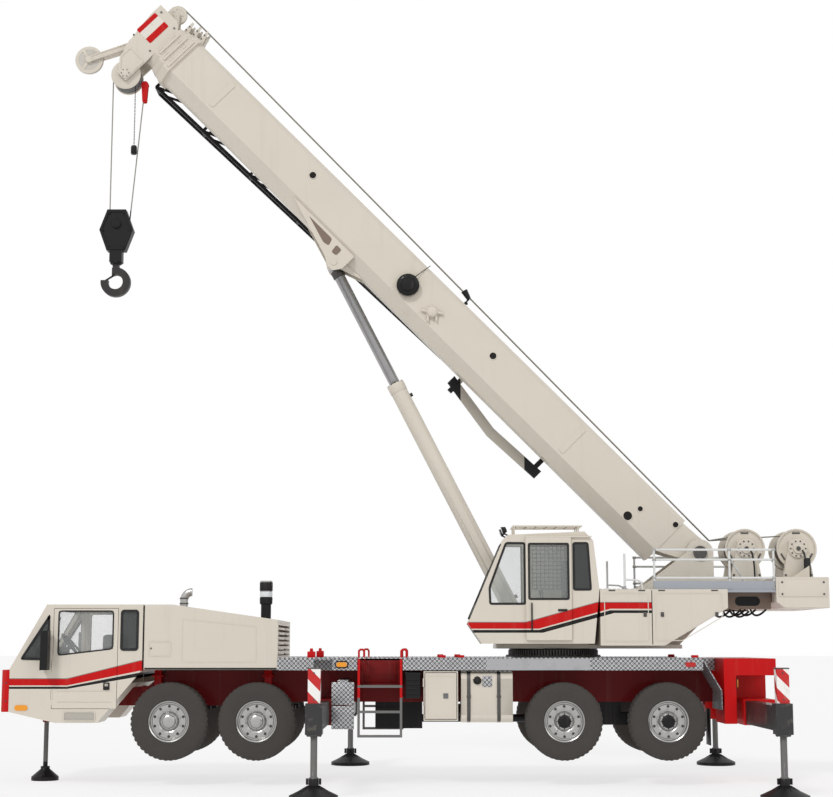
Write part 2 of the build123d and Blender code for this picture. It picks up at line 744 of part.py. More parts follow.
with BuildPart() as cab_shell:
    side_plate(-CAB_HALF_WIDTH, CAB_HALF_WIDTH, *CAB_OUTLINE)
    block(CAB_FRONT, CAB_REAR, -CAB_UNDER_HALF, CAB_UNDER_HALF, CAB_SKIRT, CAB_FLOOR - CAB_WALL,
        Mode.SUBTRACT)
    inset_plate(-CAB_INNER, CAB_INNER, CAB_WALL, *CAB_ROOM, mode=Mode.SUBTRACT)
    for side in SIDES.values():
        y0, y1 = both_ends(side, CAB_INNER, CAB_HALF_WIDTH)
        block(DOOR_FRONT, DOOR_REAR, y0, y1, DOOR_BOTTOM, DOOR_TOP, Mode.SUBTRACT)
        side_plate(y0, y1, *QUARTER_WINDOW, mode=Mode.SUBTRACT)
        side_plate(y0, y1, *REAR_WINDOW, mode=Mode.SUBTRACT)
        for hinge_z in DOOR_HINGE_ZS:
            upright(DOOR_FRONT, side * CAB_HALF_WIDTH, HINGE_RADIUS + HINGE_GAP, hinge_z - HINGE_GAP,
                    hinge_z + HINGE_LENGTH + HINGE_GAP, Mode.SUBTRACT)
        y0, y1 = both_ends(side, CAB_HALF_WIDTH, CAB_HALF_WIDTH + MIRROR_OUT)
        block(MIRROR_FRONT, MIRROR_FRONT + MIRROR_DEPTH / 3, y0, y1, MIRROR_BOTTOM - MIRROR_DROP,
            MIRROR_BOTTOM - MIRROR_ARM_DROP)
        y0, y1 = both_ends(side, CAB_HALF_WIDTH + MIRROR_OUT / 4, CAB_HALF_WIDTH + MIRROR_OUT)
        block(MIRROR_FRONT, MIRROR_FRONT + MIRROR_DEPTH, y0, y1, MIRROR_BOTTOM - MIRROR_DROP, MIRROR_TOP)
    with BuildSketch(SCREEN_PLANE):
        Rectangle(2 * (CAB_HALF_WIDTH - SCREEN_MARGIN), SCREEN_RUN - SCREEN_MARGIN)
    extrude(amount=-2 * CAB_WALL, mode=Mode.SUBTRACT)
finish(cab_shell, "cab_shell")

with BuildPart() as cab_glass:
    for side in SIDES.values():
        y0, y1 = both_ends(side, CAB_HALF_WIDTH - GLASS_THICK, CAB_HALF_WIDTH)
        for window in (QUARTER_WINDOW, REAR_WINDOW):
            inset_plate(y0, y1, GLASS_FIT, *window)
    with BuildSketch(SCREEN_PLANE):
        Rectangle(2 * (CAB_HALF_WIDTH - SCREEN_MARGIN - GLASS_FIT),
            SCREEN_RUN - SCREEN_MARGIN - 2 * GLASS_FIT)
    extrude(amount=-GLASS_THICK)
finish(cab_glass, "cab_glass")

for name, side in SIDES.items():
    with BuildPart() as cab_door:
        y0, y1 = both_ends(side, CAB_INNER, CAB_HALF_WIDTH)
        block(DOOR_FRONT + DOOR_GAP, DOOR_REAR - DOOR_GAP, y0, y1, DOOR_BOTTOM + DOOR_GAP,
            DOOR_TOP - DOOR_GAP)
        side_plate(y0, y1, *DOOR_WINDOW, mode=Mode.SUBTRACT)
        block(DOOR_FRONT, DOOR_FRONT + DOOR_GAP, y0 if side < 0 else y1 - DOOR_GAP,
              y0 + DOOR_GAP if side < 0 else y1, DOOR_BOTTOM + CAB_WALL, DOOR_WINDOW_FRONT_SILL)
        for hinge_z in DOOR_HINGE_ZS:
            upright(DOOR_FRONT, side * CAB_HALF_WIDTH, HINGE_RADIUS, hinge_z, hinge_z + HINGE_LENGTH)
    finish(cab_door, "cab_door_" + name)

CAB_SEAT_REAR = DOOR_REAR - CAB_SEAT_SETBACK
CAB_SEAT_FRONT = CAB_SEAT_REAR - CAB_SEAT_LENGTH
STEER_WHEEL_X = CAB_FRONT + STEER_WHEEL_REACH
STEER_PLANE = Plane(origin=(STEER_WHEEL_X, -CAB_SEAT_Y, CAB_FLOOR + STEER_WHEEL_RISE),
    z_dir=STEER_COLUMN_DIR)
with BuildPart() as cab_interior:
    for side in SIDES.values():
        seat_y = side * CAB_SEAT_Y
        block(CAB_SEAT_FRONT, CAB_SEAT_REAR - CAB_SEAT_LAP, seat_y - CAB_SEAT_HALF_WIDTH,
              seat_y + CAB_SEAT_HALF_WIDTH, CAB_FLOOR, CAB_FLOOR + CAB_SEAT_HEIGHT)
        back_half = CAB_SEAT_HALF_WIDTH - CAB_SEAT_TRIM
        block(CAB_SEAT_REAR - CAB_SEAT_BACK_DEPTH, CAB_SEAT_REAR, seat_y - back_half, seat_y + back_half,
              CAB_FLOOR + CAB_SEAT_HEIGHT, CAB_FLOOR + CAB_SEAT_TOP)
    block(CAB_FRONT + 2 * CAB_WALL + INTERIOR_GAP, CAB_FRONT + DASH_REACH, -CAB_INNER + INTERIOR_GAP,
          CAB_INNER - INTERIOR_GAP, CAB_FLOOR, CAB_FLOOR + DASH_HEIGHT)
    with BuildSketch(STEER_PLANE):
        Circle(STEER_WHEEL_RADIUS)
        Circle(STEER_WHEEL_RADIUS - STEER_WHEEL_RIM, mode=Mode.SUBTRACT)
        Rectangle(2 * STEER_WHEEL_RADIUS - STEER_WHEEL_RIM, STEER_SPOKE)
    extrude(amount=STEER_SPOKE)
    with BuildSketch(STEER_PLANE):
        Circle(STEER_WHEEL_RIM)
    extrude(amount=-STEER_COLUMN_LENGTH)
finish(cab_interior, "cab_interior")


# Engine hood with a louvred rear face, engine, exhaust stack and air pre-cleaner
with BuildPart() as engine_hood:
    hood_outline = (
        (HOOD_FRONT, HOOD_BOTTOM), (HOOD_FRONT, HOOD_TOP), (HOOD_SLOPE_START, HOOD_TOP),
        (HOOD_REAR, HOOD_REAR_TOP), (HOOD_REAR, HOOD_BOTTOM))
    side_plate(-HOOD_HALF_WIDTH, HOOD_HALF_WIDTH, *hood_outline)
    fillet(engine_hood.edges().filter_by(Axis.X).group_by(Axis.Z)[-1], HOOD_WALL)
    hood_inner = HOOD_HALF_WIDTH - HOOD_WALL
    inset_plate(-hood_inner, hood_inner, HOOD_WALL, *hood_outline, mode=Mode.SUBTRACT)
    block(HOOD_FRONT + HOOD_WALL, HOOD_REAR - HOOD_WALL, -HOOD_HALF_WIDTH + HOOD_WALL,
          HOOD_HALF_WIDTH - HOOD_WALL, HOOD_BOTTOM, HOOD_BOTTOM + HOOD_WALL, Mode.SUBTRACT)
    louvre_pitch = (HOOD_REAR_TOP - DECK_TOP - 2 * HOOD_WALL) / LOUVRE_COUNT
    for row in range(LOUVRE_COUNT):
        z0 = DECK_TOP + HOOD_WALL + row * louvre_pitch
        block(HOOD_REAR - HOOD_WALL, HOOD_REAR, -HOOD_HALF_WIDTH + GRILLE_EDGE,
            HOOD_HALF_WIDTH - GRILLE_EDGE,
              z0, z0 + LOUVRE_HEIGHT, Mode.SUBTRACT)
finish(engine_hood, "engine_hood")

with BuildPart() as engine_block:
    block(ENGINE_FRONT, ENGINE_REAR, -ENGINE_HALF_WIDTH, ENGINE_HALF_WIDTH, ENGINE_BOTTOM, ENGINE_TOP)
    for side in SIDES.values():
        y0, y1 = both_ends(side, ENGINE_HALF_WIDTH, FRAME_HALF_WIDTH - RAIL_WIDTH)
        block(ENGINE_FRONT + ENGINE_FOOT_INSET, ENGINE_REAR - ENGINE_FOOT_INSET, y0, y1,
            FRAME_BOTTOM + ENGINE_FOOT_LOW, FRAME_BOTTOM + ENGINE_FOOT_HIGH)
finish(engine_block, "engine_block")

SLOPE = (HOOD_TOP - HOOD_REAR_TOP) / (HOOD_REAR - HOOD_SLOPE_START)


def hood_height(x):
    """The height of the hood's top at a place along the crane."""
    return HOOD_TOP - max(0, x - HOOD_SLOPE_START) * SLOPE


with BuildPart() as exhaust_and_intake:
    stack_foot = hood_height(STACK_X + STACK_RADIUS)
    bend = 2 * STACK_RADIUS
    bend_foot = STACK_TIP_Z - STACK_RADIUS - bend
    with BuildLine() as stack_path:
        rise = Line((STACK_X, STACK_Y, stack_foot), (STACK_X, STACK_Y, bend_foot))
        TangentArc(rise @ 1, (STACK_X + bend, STACK_Y, bend_foot + bend), tangent=rise % 1)
    with BuildSketch(Plane(origin=(STACK_X, STACK_Y, stack_foot))):
        Circle(STACK_RADIUS)
    sweep(path=stack_path.wires()[0])
    cleaner_foot = hood_height(CLEANER_X + CLEANER_RADIUS)
    upright(CLEANER_X, STACK_Y, CLEANER_RADIUS * 0.45, cleaner_foot, CLEANER_TOP - 2 * CLEANER_RADIUS)
    upright(CLEANER_X, STACK_Y, CLEANER_RADIUS, CLEANER_TOP - 2 * CLEANER_RADIUS, CLEANER_TOP)
    side_plate(-HOOD_HALF_WIDTH, HOOD_HALF_WIDTH, *hood_outline, mode=Mode.SUBTRACT)
finish(exhaust_and_intake, "exhaust_and_intake")


# Fuel tank with two straps and a step plate over it
with BuildPart() as fuel_tank:
    tank_inner = SIDE_FACE - TANK_DEPTH
    block(TANK_FRONT, TANK_REAR, -SIDE_FACE + STRAP_THICK, -tank_inner, TANK_BOTTOM, TANK_TOP - STRAP_THICK)
    fillet(fuel_tank.edges().filter_by(Axis.X).sort_by(Axis.Y)[:2], TANK_ROUND)
    for strap_x in (TANK_FRONT + STRAP_FRONT_SETBACK, TANK_REAR - STRAP_REAR_SETBACK):
        block(strap_x, strap_x + STRAP_WIDTH, -SIDE_FACE, -tank_inner, TANK_BOTTOM + TANK_ROUND,
              TANK_TOP - TANK_ROUND)
    block(TANK_FRONT, TANK_REAR, -SIDE_FACE + TANK_ROUND, -FRAME_HALF_WIDTH, TANK_TOP - TANK_STEP, TANK_TOP)
finish(fuel_tank, "fuel_tank")


# Tool boxes on both sides; the left one has a hinged door
with BuildPart() as toolbox:
    for side in SIDES.values():
        y0, y1 = both_ends(side, SIDE_FACE - BOX_DEPTH, SIDE_FACE - BOX_PANEL)
        block(BOX_FRONT, BOX_REAR, y0, y1, BOX_BOTTOM, TANK_TOP)
        block(BOX_FRONT + BOX_PANEL, BOX_REAR - BOX_PANEL, y0 + BOX_PANEL, y1 - BOX_PANEL,
              BOX_BOTTOM + BOX_PANEL, TANK_TOP - BOX_PANEL, Mode.SUBTRACT)
        y0, y1 = both_ends(side, FRAME_HALF_WIDTH, SIDE_FACE - BOX_DEPTH)
        block(BOX_FRONT + BOX_PANEL, BOX_REAR - BOX_PANEL, y0, y1, TANK_TOP - 3 * BOX_PANEL, TANK_TOP)
    block(BOX_FRONT + BOX_PANEL, BOX_REAR - BOX_PANEL, -SIDE_FACE, -SIDE_FACE + 2 * BOX_PANEL,
          BOX_BOTTOM + BOX_PANEL, TANK_TOP - BOX_PANEL, Mode.SUBTRACT)
    block(BOX_FRONT, BOX_REAR, SIDE_FACE - BOX_PANEL, SIDE_FACE, BOX_BOTTOM, TANK_TOP)
    for hinge_z in BOX_HINGE_ZS:
        upright(BOX_FRONT, -SIDE_FACE, HINGE_RADIUS + HINGE_GAP, hinge_z, hinge_z + HINGE_LENGTH,
            Mode.SUBTRACT)
finish(toolbox, "toolbox")

with BuildPart() as toolbox_door:
    block(BOX_FRONT, BOX_REAR, -SIDE_FACE, -SIDE_FACE + BOX_PANEL - RUNNING_GAP, BOX_BOTTOM, TANK_TOP)
    for hinge_z in BOX_HINGE_ZS:
        upright(BOX_FRONT, -SIDE_FACE, HINGE_RADIUS, hinge_z + HINGE_GAP,
            hinge_z + HINGE_LENGTH - HINGE_GAP)
finish(toolbox_door, "toolbox_door")


# Access ladders: stringers, rungs and hand hoops on both sides, with a battery box on the left
with BuildPart() as access_ladder:
    for side in SIDES.values():
        face = SIDE_FACE
        y0, y1 = both_ends(side, face - 2 * STRINGER, face)
        for x0 in (LADDER_FRONT + LADDER_EDGE, LADDER_REAR - LADDER_EDGE - STRINGER):
            block(x0, x0 + STRINGER, y0, y1, RUNG_ZS[-1] - STRINGER / 2, DECK_TOP)
            bar_y = side * (face - STRINGER)
            upright(x0 + STRINGER / 2, bar_y, HOOP_RADIUS, DECK_TOP, HOOP_TOP)
        for rung_z in RUNG_ZS:
            block(LADDER_FRONT + LADDER_EDGE, LADDER_REAR - LADDER_EDGE, y0, y1, rung_z - STRINGER / 2,
                rung_z + STRINGER / 2)
        y0, y1 = both_ends(side, FRAME_HALF_WIDTH, face - 2 * STRINGER)
        block(LADDER_FRONT + LADDER_EDGE, LADDER_REAR - LADDER_EDGE, y0, y1, RUNG_ZS[0] - STRINGER / 2,
            RUNG_ZS[0] + STRINGER / 2)
    block(BATTERY_FRONT, BATTERY_REAR, -SIDE_FACE, -FRAME_HALF_WIDTH, BATTERY_BOTTOM, BATTERY_TOP)
    block(LADDER_REAR - LADDER_EDGE - STRINGER, BATTERY_FRONT, -SIDE_FACE + BATTERY_STAY_INSET,
        -SIDE_FACE + BATTERY_STAY_INSET + STRINGER,
          BATTERY_BOTTOM, BATTERY_BOTTOM + STRINGER)
finish(access_ladder, "access_ladder")


# Axles with their springs, the rear walking beams and the drive line
REAR_AXLES = AXLE_XS[2:]
BOGIE_X = (REAR_AXLES[0] + REAR_AXLES[1]) / 2

with BuildPart() as axles:
    for axle_x in AXLE_XS[:2]:
        cross_bar(axle_x, AXLE_Z, AXLE_TUBE_RADIUS, -KINGPIN_Y, KINGPIN_Y)
        for side in SIDES.values():
            upright(axle_x, side * KINGPIN_Y, KINGPIN_BOSS_RADIUS, AXLE_Z - KINGPIN_BOSS_HEIGHT / 2,
                    AXLE_Z + KINGPIN_BOSS_HEIGHT / 2)
            upright(axle_x, side * KINGPIN_Y, KINGPIN_RADIUS + RUNNING_GAP, AXLE_Z - KINGPIN_BOSS_HEIGHT,
                    AXLE_Z + KINGPIN_BOSS_HEIGHT, Mode.SUBTRACT)
            y0, y1 = both_ends(side, SPRING_Y - SPRING_HALF_WIDTH, SPRING_Y + SPRING_HALF_WIDTH)
            spring_z = AXLE_Z + AXLE_TUBE_RADIUS
            side_plate(
                y0, y1, (axle_x - SPRING_HALF_LENGTH, FRONT_RAIL_BOTTOM - HANGER_HEIGHT),
                (axle_x - SPRING_PAD, spring_z - SPRING_DROP), (axle_x + SPRING_PAD,
                spring_z - SPRING_DROP),
                (axle_x + SPRING_HALF_LENGTH, FRONT_RAIL_BOTTOM - HANGER_HEIGHT),
                (axle_x + SPRING_HALF_LENGTH, FRONT_RAIL_BOTTOM), (axle_x + SPRING_HALF_LENGTH - SPRING_EYE,
                 FRONT_RAIL_BOTTOM), (axle_x + SPRING_PAD, spring_z + SPRING_LEAF), (axle_x - SPRING_PAD,
                     spring_z + SPRING_LEAF),
                (axle_x - SPRING_HALF_LENGTH + SPRING_EYE, FRONT_RAIL_BOTTOM),
                (axle_x - SPRING_HALF_LENGTH, FRONT_RAIL_BOTTOM))
    for axle_x in REAR_AXLES:
        cross_bar(axle_x, AXLE_Z, AXLE_TUBE_RADIUS, -WHEEL_Y + HUB_LENGTH, WHEEL_Y - HUB_LENGTH)
        cross_bar(axle_x, AXLE_Z, SPINDLE_RADIUS, -SPINDLE_END, SPINDLE_END)
        with Locations((axle_x, 0, AXLE_Z)):
            Sphere(DIFF_RADIUS)
    beam_low = AXLE_Z - WALKING_BEAM_HEIGHT / 2
    beam_high = AXLE_Z + WALKING_BEAM_HEIGHT / 2
    for side in SIDES.values():
        y0, y1 = both_ends(side, SPRING_Y - SPRING_HALF_WIDTH, SPRING_Y + SPRING_HALF_WIDTH)
        side_plate(
            y0, y1, (REAR_AXLES[0], beam_low), (REAR_AXLES[1], beam_low), (REAR_AXLES[1], beam_high),
            (BOGIE_X + BOGIE_SEAT, beam_high), (BOGIE_X + BOGIE_SEAT, FRAME_BOTTOM),
            (BOGIE_X - BOGIE_SEAT, FRAME_BOTTOM), (BOGIE_X - BOGIE_SEAT, beam_high), (REAR_AXLES[0],
            beam_high))
    fore_bar(0, AXLE_Z, SHAFT_RADIUS, REAR_AXLES[0], REAR_AXLES[1])
finish(axles, "axles")

with BuildPart() as drive_line:
    block(GEARBOX_FRONT, GEARBOX_REAR, -GEARBOX_HALF, GEARBOX_HALF, AXLE_Z - GEARBOX_HALF + GEARBOX_RISE,
        FRAME_BOTTOM)
    fore_bar(0, AXLE_Z, SHAFT_RADIUS, GEARBOX_REAR, REAR_AXLES[0] - DIFF_RADIUS - RUNNING_GAP)
    for side in SIDES.values():
        fore_bar(side * AIR_TANK_Y, FRAME_BOTTOM - AIR_TANK_DROP, AIR_TANK_RADIUS, AIR_TANK_FRONT,
            AIR_TANK_REAR)
        y0, y1 = both_ends(side, FRAME_HALF_WIDTH - AIR_TANK_STAY, AIR_TANK_Y)
        block(AIR_TANK_STAY_X, AIR_TANK_STAY_X + AIR_TANK_STAY, y0, y1,
            FRAME_BOTTOM - AIR_TANK_STAY_DROP, FRAME_BOTTOM)
finish(drive_line, "drive_line")


# Steering knuckles: a fork on the kingpin and a spindle for the wheel
def knuckle_name(number, side_name):
    """The name of one steering knuckle."""
    return "knuckle_%d_%s" % (number, side_name)


for number, axle_x in enumerate(AXLE_XS[:2], 1):
    for name, side in SIDES.items():
        with BuildPart() as knuckle:
            fork_low = AXLE_Z - KINGPIN_BOSS_HEIGHT / 2 - RUNNING_GAP - FORK_THICK
            fork_high = AXLE_Z + KINGPIN_BOSS_HEIGHT / 2 + RUNNING_GAP
            spindle_root = KINGPIN_Y + KINGPIN_BOSS_RADIUS + SPINDLE_STEP
            for z0 in (fork_low, fork_high):
                upright(axle_x, side * KINGPIN_Y, KINGPIN_BOSS_RADIUS, z0, z0 + FORK_THICK)
                y0, y1 = both_ends(side, KINGPIN_Y, spindle_root)
                block(axle_x - KINGPIN_BOSS_RADIUS, axle_x + KINGPIN_BOSS_RADIUS, y0, y1, z0,
                    z0 + FORK_THICK)
            upright(axle_x, side * KINGPIN_Y, KINGPIN_RADIUS, fork_low, fork_high + FORK_THICK)
            y0, y1 = both_ends(side, spindle_root, spindle_root + FORK_THICK)
            block(axle_x - KINGPIN_BOSS_RADIUS, axle_x + KINGPIN_BOSS_RADIUS, y0, y1, fork_low,
                  fork_high + FORK_THICK)
            y0, y1 = both_ends(side, spindle_root, SPINDLE_END)
            cross_bar(axle_x, AXLE_Z, SPINDLE_RADIUS, y0, y1)
        finish(knuckle, knuckle_name(number, name))


# Wheels: tyre, drop-centre rim, dished disc with hand holes and hub
for number, axle_x in enumerate(AXLE_XS, 1):
    for name, side in SIDES.items():
        with BuildPart() as wheel:
            wheel_plane = Plane(origin=(axle_x, side * WHEEL_Y, AXLE_Z), x_dir=(1, 0, 0), z_dir=(0, 0, 1))
            half = TYRE_WIDTH / 2
            seat = RIM_SEAT_WIDTH / 2
            disc_out = half - RIM_DISC_INSET
            disc_in = disc_out - RIM_DISC_THICK
            with BuildSketch(wheel_plane):
                Polygon(
                    (RIM_RADIUS, -seat), (TYRE_RADIUS - TYRE_SHOULDER, -half + TYRE_BULGE),
                    (TYRE_RADIUS, -half + TYRE_SHOULDER), (TYRE_RADIUS, half - TYRE_SHOULDER),
                    (TYRE_RADIUS - TYRE_SHOULDER, half - TYRE_BULGE), (RIM_RADIUS, seat),
                    (RIM_RADIUS - 2 * RIM_WALL, seat), (RIM_RADIUS - 2 * RIM_WALL, -seat), align=None)
                Polygon(
                    (SPINDLE_RADIUS + RUNNING_GAP, side * disc_in), (RIM_RADIUS - RIM_WALL, side * disc_in),
                    (RIM_RADIUS - RIM_WALL, side * disc_out), (SPINDLE_RADIUS + RUNNING_GAP,
                    side * disc_out),
                    align=None)
                Polygon(
                    (SPINDLE_RADIUS + RUNNING_GAP, side * (disc_in - HUB_LENGTH / 2)),
                    (HUB_RADIUS, side * (disc_in - HUB_LENGTH / 2)), (HUB_RADIUS,
                    side * (disc_out + HUB_FACE)),
                    (SPINDLE_RADIUS + RUNNING_GAP, side * (disc_out + HUB_FACE)), align=None)
                Polygon(
                    (0, side * (disc_out + HUB_FACE)), (HUB_RADIUS, side * (disc_out + HUB_FACE)),
                    (HUB_CAP_RADIUS, side * (half - HUB_CAP_SETBACK)), (0,
                    side * (half - HUB_CAP_SETBACK)), align=None)
            revolve(axis=Axis((axle_x, 0, AXLE_Z), (0, 1, 0)))
            with BuildSketch(Plane(origin=(axle_x, side * WHEEL_Y, AXLE_Z), x_dir=(1, 0, 0), z_dir=(0,
                side, 0))):
                with PolarLocations(HAND_HOLE_CIRCLE, HAND_HOLE_COUNT):
                    Circle(HAND_HOLE_RADIUS)
            extrude(amount=half, mode=Mode.SUBTRACT)
        finish(wheel, "wheel_%d_%s" % (number, name))


# Outrigger beams with their jack housings, and the jacks with their floats
for end, beam_x in (("front", FRONT_BEAM_X), ("rear", REAR_BEAM_X)):
    for name, side in SIDES.items():
        x = beam_x if side < 0 else beam_x + BEAM_SPACING
        outer = JACK_Y + JACK_HOUSING / 2
        inner_end = JACK_Y - JACK_HOUSING / 2 - BEAM_LENGTH
        with BuildPart() as beam:
            y0, y1 = both_ends(side, inner_end, JACK_Y)
            block(x - BEAM_WIDTH / 2, x + BEAM_WIDTH / 2, y0, y1, BEAM_Z - BEAM_HEIGHT / 2,
                BEAM_Z + BEAM_HEIGHT / 2)
            y0, y1 = both_ends(side, inner_end, JACK_Y - JACK_HOUSING)
            block(x - BEAM_WIDTH / 2 + BEAM_WALL, x + BEAM_WIDTH / 2 - BEAM_WALL, y0, y1,
                  BEAM_Z - BEAM_HEIGHT / 2 + BEAM_WALL, BEAM_Z + BEAM_HEIGHT / 2 - BEAM_WALL, Mode.SUBTRACT)
            y0, y1 = both_ends(side, JACK_Y - JACK_HOUSING / 2, outer)
            block(x - JACK_HOUSING / 2, x + JACK_HOUSING / 2, y0, y1, JACK_HOUSING_BOTTOM, JACK_HOUSING_TOP)
            y0, y1 = both_ends(side, JACK_Y - JACK_POST / 2, JACK_Y + JACK_POST / 2)
            block(x - JACK_POST / 2, x + JACK_POST / 2, y0, y1, JACK_HOUSING_TOP, JACK_POST_TOP)
            upright(x, side * JACK_Y, JACK_ROD_RADIUS + JACK_FIT, JACK_HOUSING_BOTTOM,
                JACK_POST_TOP - JACK_CAP,
                    Mode.SUBTRACT)
        finish(beam, "outrigger_beam_%s_%s" % (end, name))
        with BuildPart() as jack:
            with BuildSketch(Plane.XZ.offset(-side * JACK_Y)):
                Polygon(
                    (x, 0), (x + FLOAT_RADIUS - FLOAT_RIM, 0), (x + FLOAT_RADIUS, FLOAT_RIM),
                    (x + FLOAT_RADIUS, 2 * FLOAT_RIM), (x + FLOAT_TOP_RADIUS, FLOAT_HEIGHT),
                    (x + COLLAR_RADIUS, FLOAT_HEIGHT), (x + COLLAR_RADIUS, FLOAT_HEIGHT + COLLAR_HEIGHT),
                    (x + JACK_ROD_RADIUS, FLOAT_HEIGHT + COLLAR_HEIGHT + COLLAR_TAPER),
                    (x + JACK_ROD_RADIUS, JACK_ROD_TOP), (x, JACK_ROD_TOP), align=None)
            revolve(axis=Axis((x, side * JACK_Y, 0), (0, 0, 1)))
        finish(jack, "outrigger_jack_%s_%s" % (end, name))

with BuildPart() as front_jack:
    with BuildSketch(Plane.XZ):
        Polygon(
            (FRONT_JACK_X, 0), (FRONT_JACK_X + FRONT_FLOAT_RADIUS, 0),
            (FRONT_JACK_X + FRONT_FLOAT_RADIUS, 2 * FLOAT_RIM),
            (FRONT_JACK_X + COLLAR_RADIUS, FLOAT_HEIGHT), (FRONT_JACK_X + COLLAR_RADIUS,
            FLOAT_HEIGHT + FRONT_COLLAR_HEIGHT),
            (FRONT_JACK_X + FRONT_JACK_ROD_RADIUS, FLOAT_HEIGHT + FRONT_COLLAR_HEIGHT),
            (FRONT_JACK_X + FRONT_JACK_ROD_RADIUS, FRONT_JACK_ROD_TOP), (FRONT_JACK_X, FRONT_JACK_ROD_TOP),
            align=None)
    revolve(axis=Axis((FRONT_JACK_X, 0, 0), (0, 0, 1)))
finish(front_jack, "front_jack")


# Slew ring: pedestal and toothed ring on the carrier
with BuildPart() as slew_ring:
    upright(SLEW_X, 0, RING_BASE_RADIUS - RUNNING_GAP, FRAME_TOP, RING_BASE_TOP)
    upright(SLEW_X, 0, RING_RADIUS, RING_BASE_TOP, RING_TOP)
    with BuildSketch(Plane.XY.offset(RING_BASE_TOP)):
        with Locations((SLEW_X, 0)):
            with PolarLocations(RING_RADIUS, RING_TOOTH_COUNT):
                Rectangle(TOOTH_SPACE, TOOTH_DEPTH)
    extrude(amount=RING_TOP - RING_BASE_TOP - TOOTH_SHELF, mode=Mode.SUBTRACT)
    upright(SLEW_X, 0, RING_BASE_RADIUS * 0.7, FRAME_TOP, RING_TOP, Mode.SUBTRACT)
finish(slew_ring, "slew_ring")


# Turntable: bed plate, two cheeks that carry the boom and the tail
BED_BOTTOM = RING_TOP + TURN_GAP
BED_TOP = BED_BOTTOM + BED_THICK
CHEEK_OUTER = CHEEK_INNER + CHEEK_THICK
with BuildPart() as turntable:
    block(BED_FRONT, BED_REAR, -BED_HALF_WIDTH, BED_HALF_WIDTH, BED_BOTTOM, BED_TOP)
    for side in SIDES.values():
        y0, y1 = both_ends(side, CHEEK_INNER, CHEEK_OUTER)
        side_plate(
            y0, y1, (BED_FRONT, BED_TOP), (BED_FRONT, LIFT_FOOT_Z + LIFT_EYE_RADIUS),
            (LIFT_FOOT_X + LIFT_EYE_RADIUS, LIFT_FOOT_Z + LIFT_EYE_RADIUS), (PIVOT_X - BROW_SETBACK,
            PIVOT_Z - BROW_DROP),
            (PIVOT_X - PIVOT_BOSS, PIVOT_Z), (PIVOT_X + PIVOT_BOSS, PIVOT_Z), (PIVOT_X + PIVOT_BOSS,
            WEIGHT_TOP),
            (CHEEK_TAIL, WEIGHT_TOP), (CHEEK_TAIL, CHEEK_BOTTOM_REAR), (PIVOT_X + PIVOT_BOSS,
            CHEEK_BOTTOM_REAR),
            (BED_REAR, BED_TOP))
        cross_bar(PIVOT_X, PIVOT_Z, PIVOT_BOSS, y0, y1)
        cross_bar(PIVOT_X, PIVOT_Z, PIVOT_PIN_RADIUS + RUNNING_GAP, y0 - 1, y1 + 1, Mode.SUBTRACT)
        cross_bar(LIFT_FOOT_X, LIFT_FOOT_Z, LIFT_PIN_RADIUS + RUNNING_GAP, y0 - 1, y1 + 1, Mode.SUBTRACT)
    block(PIVOT_X + PIVOT_BOSS, CHEEK_TAIL, -CHEEK_INNER, CHEEK_INNER, CHEEK_BOTTOM_REAR,
          CHEEK_BOTTOM_REAR + BED_THICK)
    block(BED_FRONT, BED_FRONT + BED_THICK, -CHEEK_INNER, CHEEK_INNER, BED_TOP, BED_TOP + 2 * BED_THICK)
finish(turntable, "turntable")

COVER_SIDE = (
    (COVER_FRONT, COVER_BOTTOM), (COVER_FRONT, COVER_TOP), (COVER_REAR, COVER_TOP),
    (COVER_REAR, COVER_REAR_BOTTOM), (COVER_SLOPE_X, COVER_BOTTOM))
with BuildPart() as side_covers:
    for side in SIDES.values():
        y0, y1 = both_ends(side, CHEEK_OUTER, COVER_FACE)
        side_plate(y0, y1, *COVER_SIDE)
        y0, y1 = both_ends(side, CHEEK_OUTER, COVER_INNER + TAIL_BOX_WIDTH)
        block(COVER_REAR, WEIGHT_FRONT, y0, y1, COVER_REAR_BOTTOM + TAIL_BOX_STEP,
            COVER_TOP - WALKWAY_THICK)
    block(BED_FRONT, BED_REAR, -BED_HALF_WIDTH, BED_HALF_WIDTH, BED_BOTTOM, BED_TOP, Mode.SUBTRACT)
finish(side_covers, "side_covers")

with BuildPart() as counterweight:
    for side in SIDES.values():
        y0, y1 = both_ends(side, CHEEK_OUTER, WEIGHT_HALF_WIDTH)
        side_plate(
            y0, y1, (WEIGHT_FRONT, WEIGHT_BOTTOM + WEIGHT_NOSE_RISE), (WEIGHT_FRONT, WEIGHT_TOP),
                (WEIGHT_REAR, WEIGHT_TOP),
            (WEIGHT_REAR, WEIGHT_BOTTOM), (WEIGHT_FRONT + WEIGHT_NOSE_RUN, WEIGHT_BOTTOM))
    block(CHEEK_TAIL, WEIGHT_REAR, -CHEEK_OUTER, CHEEK_OUTER, WEIGHT_BOTTOM, WEIGHT_TOP)
finish(counterweight, "counterweight")

with BuildPart() as winches:
    for winch_x in WINCH_XS:
        cross_bar(winch_x, WINCH_Z, WINCH_DRUM, -WINCH_HALF_LENGTH, WINCH_HALF_LENGTH)
        for side in SIDES.values():
            y0, y1 = both_ends(side, WINCH_HALF_LENGTH - WINCH_PLATE, WINCH_HALF_LENGTH)
            cross_bar(winch_x, WINCH_Z, WINCH_FLANGE, y0, y1)
            y0, y1 = both_ends(side, WINCH_HALF_LENGTH, CHEEK_OUTER)
            side_plate(
                y0, y1, (winch_x - WINCH_FOOT, WEIGHT_TOP), (winch_x - WINCH_BRACE, WINCH_Z + WINCH_BRACE),
                (winch_x + WINCH_BRACE, WINCH_Z + WINCH_BRACE), (winch_x + WINCH_FOOT, WEIGHT_TOP))
finish(winches, "winches")

